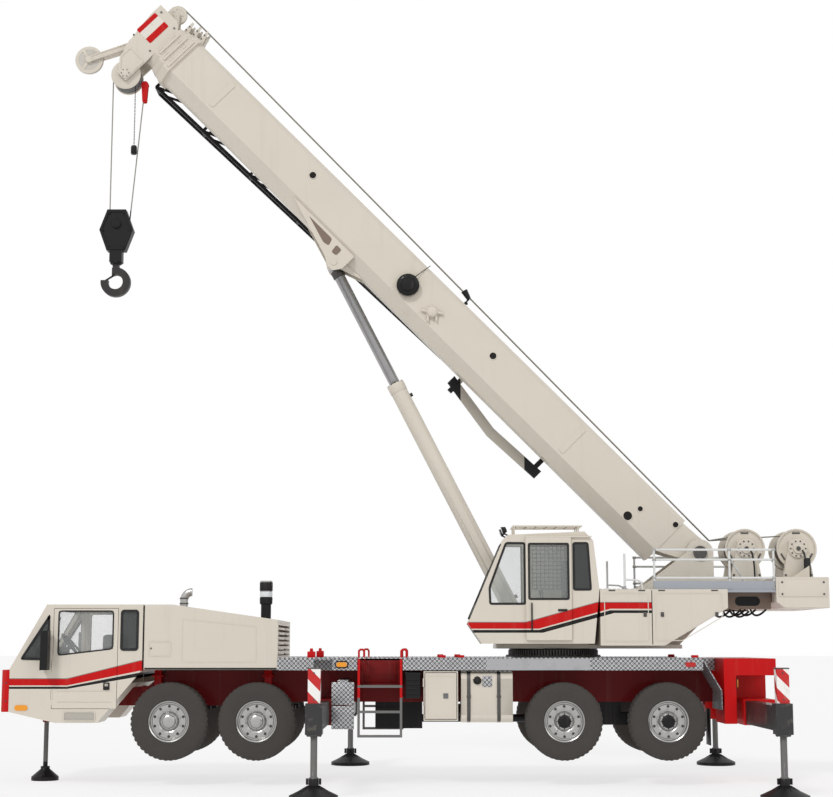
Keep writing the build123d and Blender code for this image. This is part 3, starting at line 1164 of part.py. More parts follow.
# Handrails and toe boards along both sides of the engine deck
with BuildPart() as handrails:
    for side in SIDES.values():
        rail_y = side * (COVER_FACE - 2 * RAIL_RADIUS)
        for rail_z in RAIL_ZS:
            fore_bar(rail_y, rail_z, RAIL_RADIUS, RAIL_POST_XS[0], RAIL_POST_XS[-1])
        for post_x in RAIL_POST_XS:
            foot = COVER_TOP
            upright(post_x, rail_y, RAIL_RADIUS, foot, RAIL_ZS[0] + RAIL_RADIUS)
        y0, y1 = both_ends(side, COVER_FACE - 3 * RAIL_RADIUS, COVER_FACE - RAIL_RADIUS)
        block(RAIL_POST_XS[0], RAIL_POST_XS[-1], y0, y1, COVER_TOP, TOE_TOP)
        y0, y1 = both_ends(side, CHEEK_OUTER, COVER_FACE - RAIL_RADIUS)
        block(COVER_REAR, WEIGHT_FRONT, y0, y1, COVER_TOP - WALKWAY_THICK, COVER_TOP)
finish(handrails, "handrails")


# Operator's cab: hollow shell, sliding door hung outside it, glass, seat and console
OP_OUTLINE = (
    (OP_FOOT_FRONT_X, OP_BOTTOM), (OP_NOSE_X, OP_NOSE_Z), (OP_SCREEN_TOP_X, OP_SCREEN_TOP_Z),
    (OP_ROOF_FRONT_X, OP_ROOF_FRONT_Z), (OP_ROOF_REAR_X, OP_ROOF_REAR_Z), (OP_BACK_TOP_X, OP_BACK_TOP_Z),
    (OP_BACK_X, OP_BACK_Z), (OP_FOOT_REAR_X, OP_BOTTOM))
OP_SIDE_WINDOW = (
    (OP_SIDE_FRONT, OP_SIDE_SILL), (OP_SIDE_FRONT, OP_SIDE_KINK), (OP_SIDE_TOP_FRONT, OP_SIDE_HEAD),
    (OP_SIDE_REAR, OP_SIDE_HEAD), (OP_SIDE_REAR, OP_SIDE_SILL))
OP_REAR_WINDOW = (
    (OP_REAR_LIGHT_FRONT, OP_REAR_LIGHT_SILL), (OP_REAR_LIGHT_FRONT, OP_SIDE_HEAD),
    (OP_REAR_LIGHT_REAR - OP_DOOR_LAP, OP_SIDE_HEAD), (OP_REAR_LIGHT_REAR, OP_REAR_LIGHT_SILL))
OP_SCREEN_RUN = math.hypot(OP_SCREEN_TOP_X - OP_NOSE_X, OP_SCREEN_TOP_Z - OP_NOSE_Z)
OP_MIDDLE_Y = -(OP_OUTER + OP_INNER) / 2
OP_SCREEN_PLANE = Plane(
    origin=((OP_SCREEN_TOP_X + OP_NOSE_X) / 2, OP_MIDDLE_Y, (OP_SCREEN_TOP_Z + OP_NOSE_Z) / 2),
    x_dir=(0, 1, 0), z_dir=(OP_NOSE_Z - OP_SCREEN_TOP_Z, 0, OP_SCREEN_TOP_X - OP_NOSE_X))
OP_SCREEN_WIDTH = OP_OUTER - OP_INNER - 4 * OP_WALL
OP_SCREEN_HEIGHT = OP_SCREEN_RUN - 4 * OP_WALL

with BuildPart() as operator_cab_shell:
    side_plate(-OP_OUTER, -OP_INNER, *OP_OUTLINE)
    inset_plate(-OP_OUTER + OP_WALL, -OP_INNER - OP_WALL, OP_WALL, *OP_OUTLINE, mode=Mode.SUBTRACT)
    block(OP_DOOR_FRONT, OP_DOOR_REAR, -OP_OUTER, -OP_OUTER + OP_WALL, OP_DOOR_BOTTOM, OP_DOOR_TOP,
        Mode.SUBTRACT)
    for window in (OP_SIDE_WINDOW, OP_REAR_WINDOW):
        side_plate(-OP_OUTER, -OP_OUTER + OP_WALL, *window, mode=Mode.SUBTRACT)
        side_plate(-OP_INNER - OP_WALL, -OP_INNER, *window, mode=Mode.SUBTRACT)
    with BuildSketch(OP_SCREEN_PLANE):
        Rectangle(OP_SCREEN_WIDTH, OP_SCREEN_HEIGHT)
    extrude(amount=-2 * OP_WALL, mode=Mode.SUBTRACT)
    block(BED_FRONT, OP_FOOT_REAR_X - OP_WALL, -BED_HALF_WIDTH, -OP_INNER, BED_TOP, OP_BOTTOM)
    rail_z = OP_DOOR_TOP + OP_DOOR_LAP + RUNNING_GAP
    block(OP_DOOR_FRONT - OP_DOOR_LAP, DOOR_RAIL_REAR - OP_DOOR_LAP, -OP_OUTER - OP_DOOR_THICK, -OP_OUTER,
          rail_z, rail_z + OP_DOOR_LAP / 2)
    for guard_y in (-OP_OUTER + 2 * OP_WALL, OP_MIDDLE_Y, -OP_INNER - 2 * OP_WALL):
        fore_bar(guard_y, GUARD_Z, GUARD_RADIUS, GUARD_FRONT, GUARD_REAR)
        for guard_x in (GUARD_FRONT + 2 * GUARD_RADIUS, GUARD_REAR - 4 * GUARD_RADIUS):
            upright(guard_x, guard_y, GUARD_POST, OP_ROOF_FRONT_Z, GUARD_Z)
finish(operator_cab_shell, "operator_cab_shell")

with BuildPart() as operator_cab_glass:
    for window in (OP_SIDE_WINDOW, OP_REAR_WINDOW):
        inset_plate(-OP_OUTER, -OP_OUTER + GLASS_THICK, GLASS_FIT, *window)
        inset_plate(-OP_INNER - GLASS_THICK, -OP_INNER, GLASS_FIT, *window)
    with BuildSketch(OP_SCREEN_PLANE):
        Rectangle(OP_SCREEN_WIDTH - 2 * GLASS_FIT, OP_SCREEN_HEIGHT - 2 * GLASS_FIT)
    extrude(amount=-GLASS_THICK)
finish(operator_cab_glass, "operator_cab_glass")

with BuildPart() as operator_door:
    door_face = -OP_OUTER - OP_DOOR_GAP
    block(OP_DOOR_FRONT - OP_DOOR_LAP, OP_DOOR_REAR + OP_DOOR_LAP, door_face - OP_DOOR_THICK, door_face,
          OP_DOOR_BOTTOM - OP_DOOR_LAP, OP_DOOR_TOP + OP_DOOR_LAP)
    block(OP_DOOR_FRONT, OP_DOOR_REAR, door_face - OP_DOOR_THICK, door_face, OP_DOOR_SILL, OP_DOOR_HEAD,
          Mode.SUBTRACT)
finish(operator_door, "operator_door")

with BuildPart() as operator_seat:
    floor = OP_BOTTOM + OP_WALL
    y0 = OP_MIDDLE_Y - SEAT_HALF_WIDTH
    y1 = OP_MIDDLE_Y + SEAT_HALF_WIDTH
    block(SEAT_FRONT, SEAT_REAR, y0, y1, floor, floor + SEAT_HEIGHT)
    block(SEAT_REAR - SEAT_BACK_THICK, SEAT_REAR, y0, y1, floor + SEAT_HEIGHT,
        floor + SEAT_HEIGHT + SEAT_BACK)
    block(CONSOLE_FRONT, CONSOLE_FRONT + CONSOLE_DEPTH, y0, y1, floor, floor + SEAT_HEIGHT)
finish(operator_seat, "operator_seat")


# Boom: base with foot lugs, lift bracket and cable reel, and three sections that slide in one another
def boom_tube(along0, along1, step, mode=Mode.ADD):
    """A solid length of the boom's cross-section, its outline moved in by a step."""
    half = BOOM_HALF_WIDTH - step
    top = BOOM_TOP - step
    bottom = BOOM_BOTTOM + step
    bevel = BOOM_TOP_BEVEL
    with BuildSketch(boom_section_plane(along0)) as face:
        Polygon(
            (-half, top - bevel), (-half + bevel, top), (half - bevel, top), (half, top - bevel),
            (half, bottom + BOOM_BELLY_HEIGHT), (half - BOOM_BELLY_WIDTH, bottom),
            (BOOM_BELLY_WIDTH - half, bottom), (-half, bottom + BOOM_BELLY_HEIGHT), align=None)
    extrude(face.sketch, amount=along1 - along0, mode=mode)


def boom_section(number, rear, collar, pad_step):
    """One hollow boom section with its collar and its sliding pads, inside the section before it."""
    step = number * SECTION_STEP
    collar_end = collar + COLLAR_LENGTH
    boom_tube(rear, collar, step)
    boom_tube(collar, collar_end, step - COLLAR_LIP)
    crest = BOOM_TOP - step + COLLAR_CREST
    boom_plate(-CREST_HALF_WIDTH, CREST_HALF_WIDTH, (collar, BOOM_TOP - step), (collar_end,
        BOOM_TOP - step),
               (collar_end, crest), (collar + COLLAR_LENGTH / 3, crest))
    if pad_step:
        boom_tube(rear, rear + COLLAR_LENGTH, pad_step)
    boom_tube(rear, collar, step + BOOM_WALL, Mode.SUBTRACT)
    boom_tube(collar, collar_end, step + SECTION_STEP - SECTION_FIT, Mode.SUBTRACT)


COLLAR_PITCH = COLLAR_LENGTH + COLLAR_SPACE
LUG_END = BOOM_REAR + LUG_REACH
EYE_SIDE = LIFT_EYE_HALF_LENGTH + EYE_GAP

with BuildPart() as boom_base:
    boom_section(0, BOOM_REAR, BOOM_BASE_FRONT, 0)
    for side in SIDES.values():
        y0, y1 = both_ends(side, FOOT_LUG_OUTER - FOOT_LUG_THICK, FOOT_LUG_OUTER)
        boom_plate(y0, y1, (0, -LUG_BOSS), (0, LUG_BOSS), (LUG_END, BOOM_TOP - BOOM_TOP_BEVEL),
                   (LUG_END, BOOM_BOTTOM + BOOM_BELLY_HEIGHT), (BOOM_REAR, BOOM_BOTTOM + BOOM_BELLY_HEIGHT))
        boom_bar(0, 0, LUG_BOSS, y0, y1)
        boom_bar(0, 0, PIVOT_PIN_RADIUS + RUNNING_GAP, y0, y1, Mode.SUBTRACT)
        y0, y1 = both_ends(side, EYE_SIDE, EYE_SIDE + BRACKET_THICK)
        boom_plate(
            y0, y1, (BRACKET_ALONG - BRACKET_HALF_BASE, BOOM_BOTTOM), (BRACKET_ALONG - BRACKET_RADIUS,
                BRACKET_UP),
            (BRACKET_ALONG + BRACKET_RADIUS, BRACKET_UP), (BRACKET_ALONG + BRACKET_HALF_BASE, BOOM_BOTTOM))
        boom_bar(BRACKET_ALONG, BRACKET_UP, BRACKET_RADIUS, y0, y1)
        y0, y1 = both_ends(side, EYE_SIDE + BRACKET_THICK, EYE_SIDE + 2 * BRACKET_THICK)
        boom_bar(BRACKET_ALONG, BRACKET_UP, LIFT_PIN_RADIUS, y0, y1)
    boom_bar(REEL_ALONG, REEL_UP, REEL_RADIUS, -BOOM_HALF_WIDTH - REEL_THICK,
        -BOOM_HALF_WIDTH - REEL_THICK / 2)
    boom_bar(REEL_ALONG, REEL_UP, REEL_RADIUS / 3, -BOOM_HALF_WIDTH - REEL_THICK / 2, -BOOM_HALF_WIDTH)
finish(boom_base, "boom_base")

for number in (2, 3):
    with BuildPart() as section:
        tail = BOOM_REAR + (number - 1) * SECTION_SETBACK
        collar = BOOM_BASE_FRONT + (number - 1) * COLLAR_PITCH
        outer_wall = (number - 2) * SECTION_STEP + BOOM_WALL + SECTION_FIT
        boom_section(number - 1, tail, collar, outer_wall)
    finish(section, "boom_section_%d" % number)

HEAD_BACK = BOOM_BASE_FRONT + 3 * COLLAR_PITCH
HEAD_STEP = 3 * SECTION_STEP
HEAD_LOW_ALONG = HEAD_FRONT - HEAD_CHIN
NOSE_BRACE_ALONG = HEAD_FRONT - NOSE_BRACE_SETBACK
with BuildPart() as boom_section_4:
    tail = BOOM_REAR + 3 * SECTION_SETBACK
    boom_tube(tail, HEAD_BACK + COLLAR_LENGTH, HEAD_STEP)
    boom_tube(tail, tail + COLLAR_LENGTH, 2 * SECTION_STEP + BOOM_WALL + SECTION_FIT)
    boom_tube(tail, HEAD_BACK + COLLAR_LENGTH, HEAD_STEP + BOOM_WALL, Mode.SUBTRACT)
    pin_drop = SHEAVE_UP - 2 * SHEAVE_PIN_RADIUS
    head_top = BOOM_TOP - HEAD_STEP
    for side in SIDES.values():
        y0, y1 = both_ends(side, HEAD_PLATE_OUTER - HEAD_PLATE_THICK, HEAD_PLATE_OUTER)
        boom_plate(
            y0, y1, (HEAD_BACK, head_top), (HEAD_BACK + COLLAR_LENGTH, BOOM_TOP), (HEAD_FRONT, BOOM_TOP),
            (HEAD_FRONT, 0), (HEAD_LOW_ALONG, HEAD_LOW_UP), (SHEAVE_ALONG + SHEAVE_RADIUS / 2, pin_drop),
            (HEAD_BACK, pin_drop))
        y0, y1 = both_ends(side, NOSE_ARM_OUTER - NOSE_ARM_THICK, NOSE_ARM_OUTER)
        boom_plate(
            y0, y1, (NOSE_BRACE_ALONG - NOSE_BRACE_RADIUS, NOSE_BRACE_UP),
            (NOSE_BRACE_ALONG + NOSE_BRACE_RADIUS, NOSE_BRACE_UP + NOSE_BRACE_RADIUS),
            (NOSE_ALONG + NOSE_BRACE_RADIUS, NOSE_UP), (NOSE_ALONG - NOSE_BRACE_RADIUS, NOSE_UP))
        boom_bar(NOSE_ALONG, NOSE_UP, NOSE_BRACE_RADIUS, y0, y1)
        y0, y1 = both_ends(side, 2 * IDLER_AXLE, 3 * IDLER_AXLE)
        boom_plate(
            y0, y1, (HEAD_BACK, head_top - BOOM_WALL), (HEAD_BACK + COLLAR_LENGTH, head_top - BOOM_WALL),
            (IDLER_ALONG + IDLER_AXLE, IDLER_UP - IDLER_AXLE), (IDLER_ALONG + IDLER_AXLE,
            IDLER_UP + IDLER_AXLE),
            (IDLER_ALONG - IDLER_AXLE, IDLER_UP + IDLER_AXLE))
    boom_bar(SHEAVE_ALONG, SHEAVE_UP, SHEAVE_PIN_RADIUS, -HEAD_PLATE_OUTER, HEAD_PLATE_OUTER)
    boom_bar(NOSE_BRACE_ALONG, NOSE_BRACE_UP, NOSE_BRACE_RADIUS, -HEAD_PLATE_OUTER, HEAD_PLATE_OUTER)
    boom_bar(HEAD_FRONT - 2 * NOSE_BRACE_RADIUS, 0, NOSE_BRACE_RADIUS, -HEAD_PLATE_OUTER, HEAD_PLATE_OUTER)
    boom_bar(NOSE_ALONG, NOSE_UP, NOSE_RADIUS, -NOSE_HALF_LENGTH, NOSE_HALF_LENGTH)
    boom_bar(NOSE_ALONG, NOSE_UP, IDLER_AXLE, -NOSE_ARM_OUTER, NOSE_ARM_OUTER)
    boom_bar(IDLER_ALONG, IDLER_UP, IDLER_RADIUS, -IDLER_AXLE, IDLER_AXLE)
    boom_bar(IDLER_ALONG, IDLER_UP, IDLER_AXLE, -3 * IDLER_AXLE, 3 * IDLER_AXLE)
finish(boom_section_4, "boom_section_4")

with BuildPart() as boom_foot_pin:
    cross_bar(PIVOT_X, PIVOT_Z, PIVOT_PIN_RADIUS, -CHEEK_OUTER, CHEEK_OUTER)
    for side in SIDES.values():
        y0, y1 = both_ends(side, CHEEK_OUTER + RUNNING_GAP, CHEEK_OUTER + CHEEK_THICK)
        cross_bar(PIVOT_X, PIVOT_Z, 1.5 * PIVOT_PIN_RADIUS, y0, y1)
        y0, y1 = both_ends(side, CHEEK_OUTER, CHEEK_OUTER + CHEEK_THICK)
        cross_bar(PIVOT_X, PIVOT_Z, PIVOT_PIN_RADIUS, y0, y1)
finish(boom_foot_pin, "boom_foot_pin")


# Lattice jib stowed on the right side of the boom, with its stowing arm
def strut(start, end, width):
    """A square bar between two points given along, above and beside the boom."""
    first = Vector(*boom_point(*start))
    run = Vector(*boom_point(*end)) - first
    with BuildSketch(Plane(origin=first, z_dir=run)) as face:
        Rectangle(width, width)
    extrude(face.sketch, amount=run.length)


def jib_frame(fraction):
    """The four corners of the jib at a fraction of its length from its tip."""
    along = JIB_START + (JIB_END - JIB_START) * fraction
    top = JIB_TIP_TOP + (JIB_TOP - JIB_TIP_TOP) * fraction
    low = JIB_BOTTOM_START + (JIB_BOTTOM_END - JIB_BOTTOM_START) * fraction
    outer = JIB_TIP_OUTER + (JIB_OUTER - JIB_TIP_OUTER) * fraction
    return ((along, top, JIB_INNER), (along, top, outer), (along, low, outer), (along, low, JIB_INNER))


with BuildPart() as boom_jib:
    tip = jib_frame(0)
    root = jib_frame(1)
    for corner in range(4):
        strut(tip[corner], root[corner], JIB_TUBE)
    for bay in range(JIB_BAYS + 1):
        frame = jib_frame(bay / JIB_BAYS)
        for corner in range(4):
            strut(frame[corner], frame[(corner + 1) % 4], JIB_TUBE * 0.8)
        if bay < JIB_BAYS:
            after = jib_frame((bay + 1) / JIB_BAYS)
            strut(frame[1], after[2], JIB_TUBE * 0.7)
            strut(frame[0], after[3], JIB_TUBE * 0.7)
    for stow_along in STOW_ALONGS:
        share = (stow_along - JIB_START) / (JIB_END - JIB_START)
        top = jib_frame(share)[0][1]
        boom_plate(BOOM_HALF_WIDTH, JIB_INNER, (stow_along - STOW_BAR, top - STOW_BAR),
                   (stow_along + STOW_BAR, top - STOW_BAR), (stow_along + STOW_BAR, top + STOW_BAR / 2),
                   (stow_along - STOW_BAR, top + STOW_BAR / 2))
    arm_inner = JIB_INNER + STOW_ARM_THICK / 4
    arm_outer = arm_inner + STOW_ARM_THICK
    boom_plate(
        arm_inner, arm_outer, (ARM_REAR, ARM_REAR_UP - STOW_BAR), (ARM_MIDDLE, ARM_MIDDLE_UP - STOW_BAR),
        (ARM_FRONT, ARM_FRONT_UP - STOW_BAR), (ARM_FRONT, ARM_FRONT_UP + STOW_BAR),
        (ARM_MIDDLE, ARM_MIDDLE_UP + STOW_BAR), (ARM_REAR, ARM_REAR_UP + STOW_BAR))
    for arm_along in (ARM_REAR + STOW_BAR, ARM_FRONT - 2 * STOW_BAR):
        boom_plate(
            arm_inner, arm_outer, (arm_along, ARM_MIDDLE_UP), (arm_along + STOW_BAR, ARM_MIDDLE_UP),
            (arm_along + STOW_BAR, JIB_TIP_TOP), (arm_along, JIB_TIP_TOP))
        boom_plate(
            BOOM_HALF_WIDTH, arm_inner, (arm_along, JIB_TIP_TOP - STOW_BAR), (arm_along + STOW_BAR,
                JIB_TIP_TOP - STOW_BAR),
            (arm_along + STOW_BAR, JIB_TIP_TOP), (arm_along, JIB_TIP_TOP))
finish(boom_jib, "boom_jib")


# Head sheaves, and the hook block with its rope falls
SHEAVE_X = SHEAVE_CENTRE[0]
SHEAVE_Z = SHEAVE_CENTRE[2]
SHEAVE_PITCH = 2 * SHEAVE_HALF_LENGTH / SHEAVE_COUNT
with BuildPart() as head_sheaves:
    for slot in range(SHEAVE_COUNT):
        y0 = -SHEAVE_HALF_LENGTH + slot * SHEAVE_PITCH
        y1 = y0 + SHEAVE_PITCH
        rim = SHEAVE_PITCH / 4
        cross_bar(SHEAVE_X, SHEAVE_Z, SHEAVE_RADIUS, y0, y0 + rim)
        cross_bar(SHEAVE_X, SHEAVE_Z, SHEAVE_RADIUS - SHEAVE_GROOVE, y0, y1)
        cross_bar(SHEAVE_X, SHEAVE_Z, SHEAVE_RADIUS, y1 - rim, y1)
    cross_bar(SHEAVE_X, SHEAVE_Z, SHEAVE_PIN_RADIUS + RUNNING_GAP, -SHEAVE_HALF_LENGTH, SHEAVE_HALF_LENGTH,
              Mode.SUBTRACT)
finish(head_sheaves, "head_sheaves")

SOCKET_ALONG = HEAD_FRONT - SOCKET_SETBACK
SOCKET_CENTRE = boom_point(SOCKET_ALONG, SOCKET_UP)
HOOK_X = SHEAVE_X - HOOK_OFFSET
with BuildPart() as hook_block:
    fall_x = SHEAVE_X - SHEAVE_RADIUS + SHEAVE_GROOVE - ROPE_RADIUS - CYLINDER_FIT
    rope_y = SHEAVE_PITCH
    upright(fall_x, -rope_y, ROPE_RADIUS, HOOK_SHEAVE_Z, SHEAVE_Z)
    socket_x = SOCKET_CENTRE[0]
    socket_z = SOCKET_CENTRE[2]
    cross_bar(socket_x, socket_z, SOCKET_RADIUS, -SOCKET_RADIUS / 2, SOCKET_RADIUS / 2)
    rope_end = Vector(HOOK_X + HOOK_SHEAVE_RADIUS, 0, HOOK_SHEAVE_Z)
    rope_start = Vector(socket_x, 0, socket_z)
    rope_run = rope_end - rope_start
    with BuildSketch(Plane(origin=rope_start, z_dir=rope_run)) as rope_face:
        Circle(ROPE_RADIUS)
    extrude(rope_face.sketch, amount=rope_run.length)
    with BuildSketch(Plane(origin=rope_start, z_dir=rope_run)) as socket_face:
        Circle(SOCKET_RADIUS * 0.6)
    extrude(socket_face.sketch, amount=SOCKET_LENGTH)
    block_middle = (BLOCK_TOP + BLOCK_BOTTOM) / 2
    corner = BLOCK_HALF_WIDTH * 0.55
    side_plate(
        -BLOCK_HALF_LENGTH, BLOCK_HALF_LENGTH, (HOOK_X - corner, BLOCK_BOTTOM),
            (HOOK_X - BLOCK_HALF_WIDTH, block_middle),
        (HOOK_X - corner, BLOCK_TOP), (HOOK_X + corner, BLOCK_TOP), (HOOK_X + BLOCK_HALF_WIDTH,
        block_middle),
        (HOOK_X + corner, BLOCK_BOTTOM))
    upright(HOOK_X, 0, SHANK_RADIUS, YOKE_BOTTOM - SHANK_RADIUS, BLOCK_BOTTOM)
    block(HOOK_X - 2 * SHANK_RADIUS, HOOK_X + 2 * SHANK_RADIUS, -BLOCK_HALF_LENGTH, BLOCK_HALF_LENGTH,
          YOKE_BOTTOM, BLOCK_BOTTOM)
    with BuildSketch(Plane.XZ.offset(-HOOK_THICK / 2)) as hook_face:
        with Locations((HOOK_X, HOOK_CENTRE_Z)):
            Circle(HOOK_OUTER)
            Circle(HOOK_INNER, mode=Mode.SUBTRACT)
        with Locations((HOOK_X - HOOK_OUTER * 0.8, HOOK_CENTRE_Z + HOOK_OUTER * 0.62)):
            Rectangle(HOOK_OUTER * 1.1, HOOK_OUTER, mode=Mode.SUBTRACT)
        with Locations((HOOK_X, (YOKE_BOTTOM + HOOK_CENTRE_Z + HOOK_INNER) / 2)):
            Rectangle(2 * SHANK_RADIUS, YOKE_BOTTOM - HOOK_CENTRE_Z - HOOK_INNER)
    extrude(hook_face.sketch, amount=HOOK_THICK)
finish(hook_block, "hook_block")


# Lift cylinder: foot pin, barrel, piston and rod
with BuildPart() as lift_foot_pin:
    cross_bar(LIFT_FOOT_X, LIFT_FOOT_Z, LIFT_PIN_RADIUS, -CHEEK_OUTER, CHEEK_OUTER)
finish(lift_foot_pin, "lift_foot_pin")

with BuildPart() as lift_barrel:
    lift_bar(0, BARREL_LENGTH, BARREL_RADIUS)
    cross_bar(LIFT_FOOT_X, LIFT_FOOT_Z, LIFT_EYE_RADIUS, -LIFT_EYE_HALF_LENGTH, LIFT_EYE_HALF_LENGTH)
    lift_bar(BARREL_FLOOR, BARREL_LENGTH, BARREL_BORE, Mode.SUBTRACT)
    cross_bar(LIFT_FOOT_X, LIFT_FOOT_Z, LIFT_PIN_RADIUS + RUNNING_GAP, -BARREL_RADIUS, BARREL_RADIUS,
        Mode.SUBTRACT)
finish(lift_barrel, "lift_barrel")

ROD_START = LIFT_SPAN - ROD_LENGTH
with BuildPart() as lift_piston:
    lift_bar(ROD_START - PISTON_LENGTH - PISTON_GAP, ROD_START - PISTON_GAP, BARREL_BORE - CYLINDER_FIT)
finish(lift_piston, "lift_piston")

# The rod's eye holds its own pin, so it can drift between the boom's bracket plates
with BuildPart() as lift_rod:
    lift_bar(ROD_START, LIFT_SPAN, ROD_RADIUS)
    boom_bar(BRACKET_ALONG, BRACKET_UP, ROD_EYE_RADIUS, -LIFT_EYE_HALF_LENGTH, LIFT_EYE_HALF_LENGTH)
finish(lift_rod, "lift_rod")
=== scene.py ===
import bmesh
import bpy
import json
import math
from mathutils import Matrix, Vector


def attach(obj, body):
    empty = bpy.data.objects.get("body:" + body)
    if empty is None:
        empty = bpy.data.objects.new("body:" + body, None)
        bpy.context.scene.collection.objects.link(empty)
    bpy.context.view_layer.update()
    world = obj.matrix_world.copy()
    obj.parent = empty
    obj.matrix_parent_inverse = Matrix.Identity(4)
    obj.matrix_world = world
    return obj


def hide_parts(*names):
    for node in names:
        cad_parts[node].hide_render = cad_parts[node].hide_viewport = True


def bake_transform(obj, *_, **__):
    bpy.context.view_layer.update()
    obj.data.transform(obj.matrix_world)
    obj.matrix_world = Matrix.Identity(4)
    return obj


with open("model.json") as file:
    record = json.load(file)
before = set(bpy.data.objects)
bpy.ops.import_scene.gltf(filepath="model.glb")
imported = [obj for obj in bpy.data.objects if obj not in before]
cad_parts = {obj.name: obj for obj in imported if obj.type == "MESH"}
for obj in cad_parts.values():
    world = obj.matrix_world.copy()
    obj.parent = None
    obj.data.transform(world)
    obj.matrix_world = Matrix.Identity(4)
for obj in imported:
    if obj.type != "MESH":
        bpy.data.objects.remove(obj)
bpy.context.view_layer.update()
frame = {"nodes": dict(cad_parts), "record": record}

# Places along the crane, in metres; -X is forward, -Y the crane's left
AXLES = (-3.690, -2.385, 2.205, 3.755)
AXLE_Z = 0.952
WHEEL_Y = 1.085
TYRE_RADIUS = 0.575
SIDES = {"left": -1, "right": 1}
BOOM_ANGLE = math.radians(45.2)
PIVOT = Vector((4.430, 0, 3.508))
ALONG = Vector((-math.cos(BOOM_ANGLE), 0, math.sin(BOOM_ANGLE)))
RISE = Vector((math.sin(BOOM_ANGLE), 0, math.cos(BOOM_ANGLE)))
ORIGIN = Vector((0, 0, 0))
ACROSS = Vector((0, 1, 0))
LEFT = Vector((0, -1, 0))
FORWARD = Vector((-1, 0, 0))
UP = Vector((0, 0, 1))
BEYOND = 9  # an X that no piece reaches


def boom_spot(along, up, y=0):
    """A point given along and above the boom's foot pin."""
    return PIVOT + ALONG * along + RISE * up + ACROSS * y


def on_boom(points, y, along=0, up=0):
    """An outline given along and above the boom, set at one Y."""
    return [boom_spot(along + a, up + u, y) for a, u in points]


# Finishes
def tone(red, green, blue):
    """A display colour, 0 to 255, as the linear colour that a shader takes."""
    parts = [c / 255 for c in (red, green, blue)]
    return (*[c / 12.92 if c <= 0.04045 else ((c + 0.055) / 1.055) ** 2.4 for c in parts], 1)


def shade(colour, factor):
    """A colour made lighter or darker."""
    return (*[min(1, c * factor) for c in colour[:3]], 1)


class Socket:
    """A shader socket that takes Python's operators; each adds its Math node."""

    def __init__(self, finish, output):
        self.finish = finish
        self.output = output

    def maths(self, operation, *values):
        return self.finish.node("ShaderNodeMath", {"operation": operation}, dict(enumerate(values)))

    def __add__(self, other):
        return self.maths("ADD", self, other)

    def __radd__(self, other):
        return self.maths("ADD", other, self)

    def __sub__(self, other):
        return self.maths("SUBTRACT", self, other)

    def __rsub__(self, other):
        return self.maths("SUBTRACT", other, self)

    def __mul__(self, other):
        return self.maths("MULTIPLY", self, other)

    def __rmul__(self, other):
        return self.maths("MULTIPLY", other, self)

    def __truediv__(self, other):
        return self.maths("DIVIDE", self, other)

    def __gt__(self, other):
        return self.maths("GREATER_THAN", self, other)

    def __lt__(self, other):
        return self.maths("LESS_THAN", self, other)

    def __abs__(self):
        return self.maths("ABSOLUTE", self)

    def wave(self):
        return self.maths("SINE", self)

    def clamped(self):
        return self.finish.node("ShaderNodeClamp", {}, {0: self, 1: 0.0, 2: 1.0})

    def part(self):
        return self.maths("FRACT", self)

    def larger(self, other):
        return self.maths("MAXIMUM", self, other)


class Finish:
    """One procedural material on Object coordinates."""

    def __init__(self, name):
        self.material = bpy.data.materials.new(name)
        self.material.use_nodes = True
        self.tree = self.material.node_tree
        self.shader = self.tree.nodes["Principled BSDF"]
        self.spot = self.node("ShaderNodeTexCoord", output="Object")

    def node(self, kind, settings=None, inputs=None, output=0):
        made = self.tree.nodes.new(kind)
        for key, value in (settings or {}).items():
            setattr(made, key, value)
        for key, value in (inputs or {}).items():
            if isinstance(value, Socket):
                self.tree.links.new(value.output, made.inputs[key])
            else:
                made.inputs[key].default_value = value
        return Socket(self, made.outputs[output])

    def axes(self):
        """The three Object coordinates, in metres."""
        return [self.node("ShaderNodeSeparateXYZ", {}, {0: self.spot}, i) for i in range(3)]

    def noise(self, scale, detail=3, stretch=(1, 1, 1)):
        """Cloudy noise from 0 to 1, finer with a larger scale."""
        spot = self.node("ShaderNodeMapping", {}, {"Vector": self.spot, "Scale": stretch})
        return self.node("ShaderNodeTexNoise", {}, {"Vector": spot, "Scale": scale, "Detail": detail})

    def mix(self, factor, first, second):
        """The first colour where factor is 0, the second where it is 1."""
        return self.node(
            "ShaderNodeMix", {"data_type": "RGBA"}, {0: factor, 6: first, 7: second}, output=2)

    def put(self, **values):
        """Sets or links the shader's own sockets."""
        for key, value in values.items():
            socket = self.shader.inputs[key.replace("_", " ").title()]
            if isinstance(value, Socket):
                self.tree.links.new(value.output, socket)
            else:
                socket.default_value = value
        return self

    def shine(self, level):
        """Sets how strongly the surface reflects."""
        self.shader.inputs["Specular IOR Level"].default_value = level

    def bump(self, height, depth, strength):
        """Raises the surface by a height pattern."""
        normal = self.node(
            "ShaderNodeBump", {}, {"Strength": strength, "Distance": depth, "Height": height})
        return self.put(normal=normal)


BEIGE = tone(211, 203, 190)
RED = tone(190, 8, 10)
# red drawn darker as painted shade, for the frame under the deck
RED_IN_PAINTED_SHADE = tone(112, 10, 12)
BLACK = tone(24, 24, 25)
WHITE = tone(236, 234, 230)
DUST = tone(150, 140, 124)
RAIL_GREY = tone(214, 214, 212)
TOE_GREY = tone(158, 162, 168)
WINDOW_TINT = tone(190, 196, 193)
DARK_PANE = tone(58, 62, 60)
DARK_PANE_ALPHA = 0.85


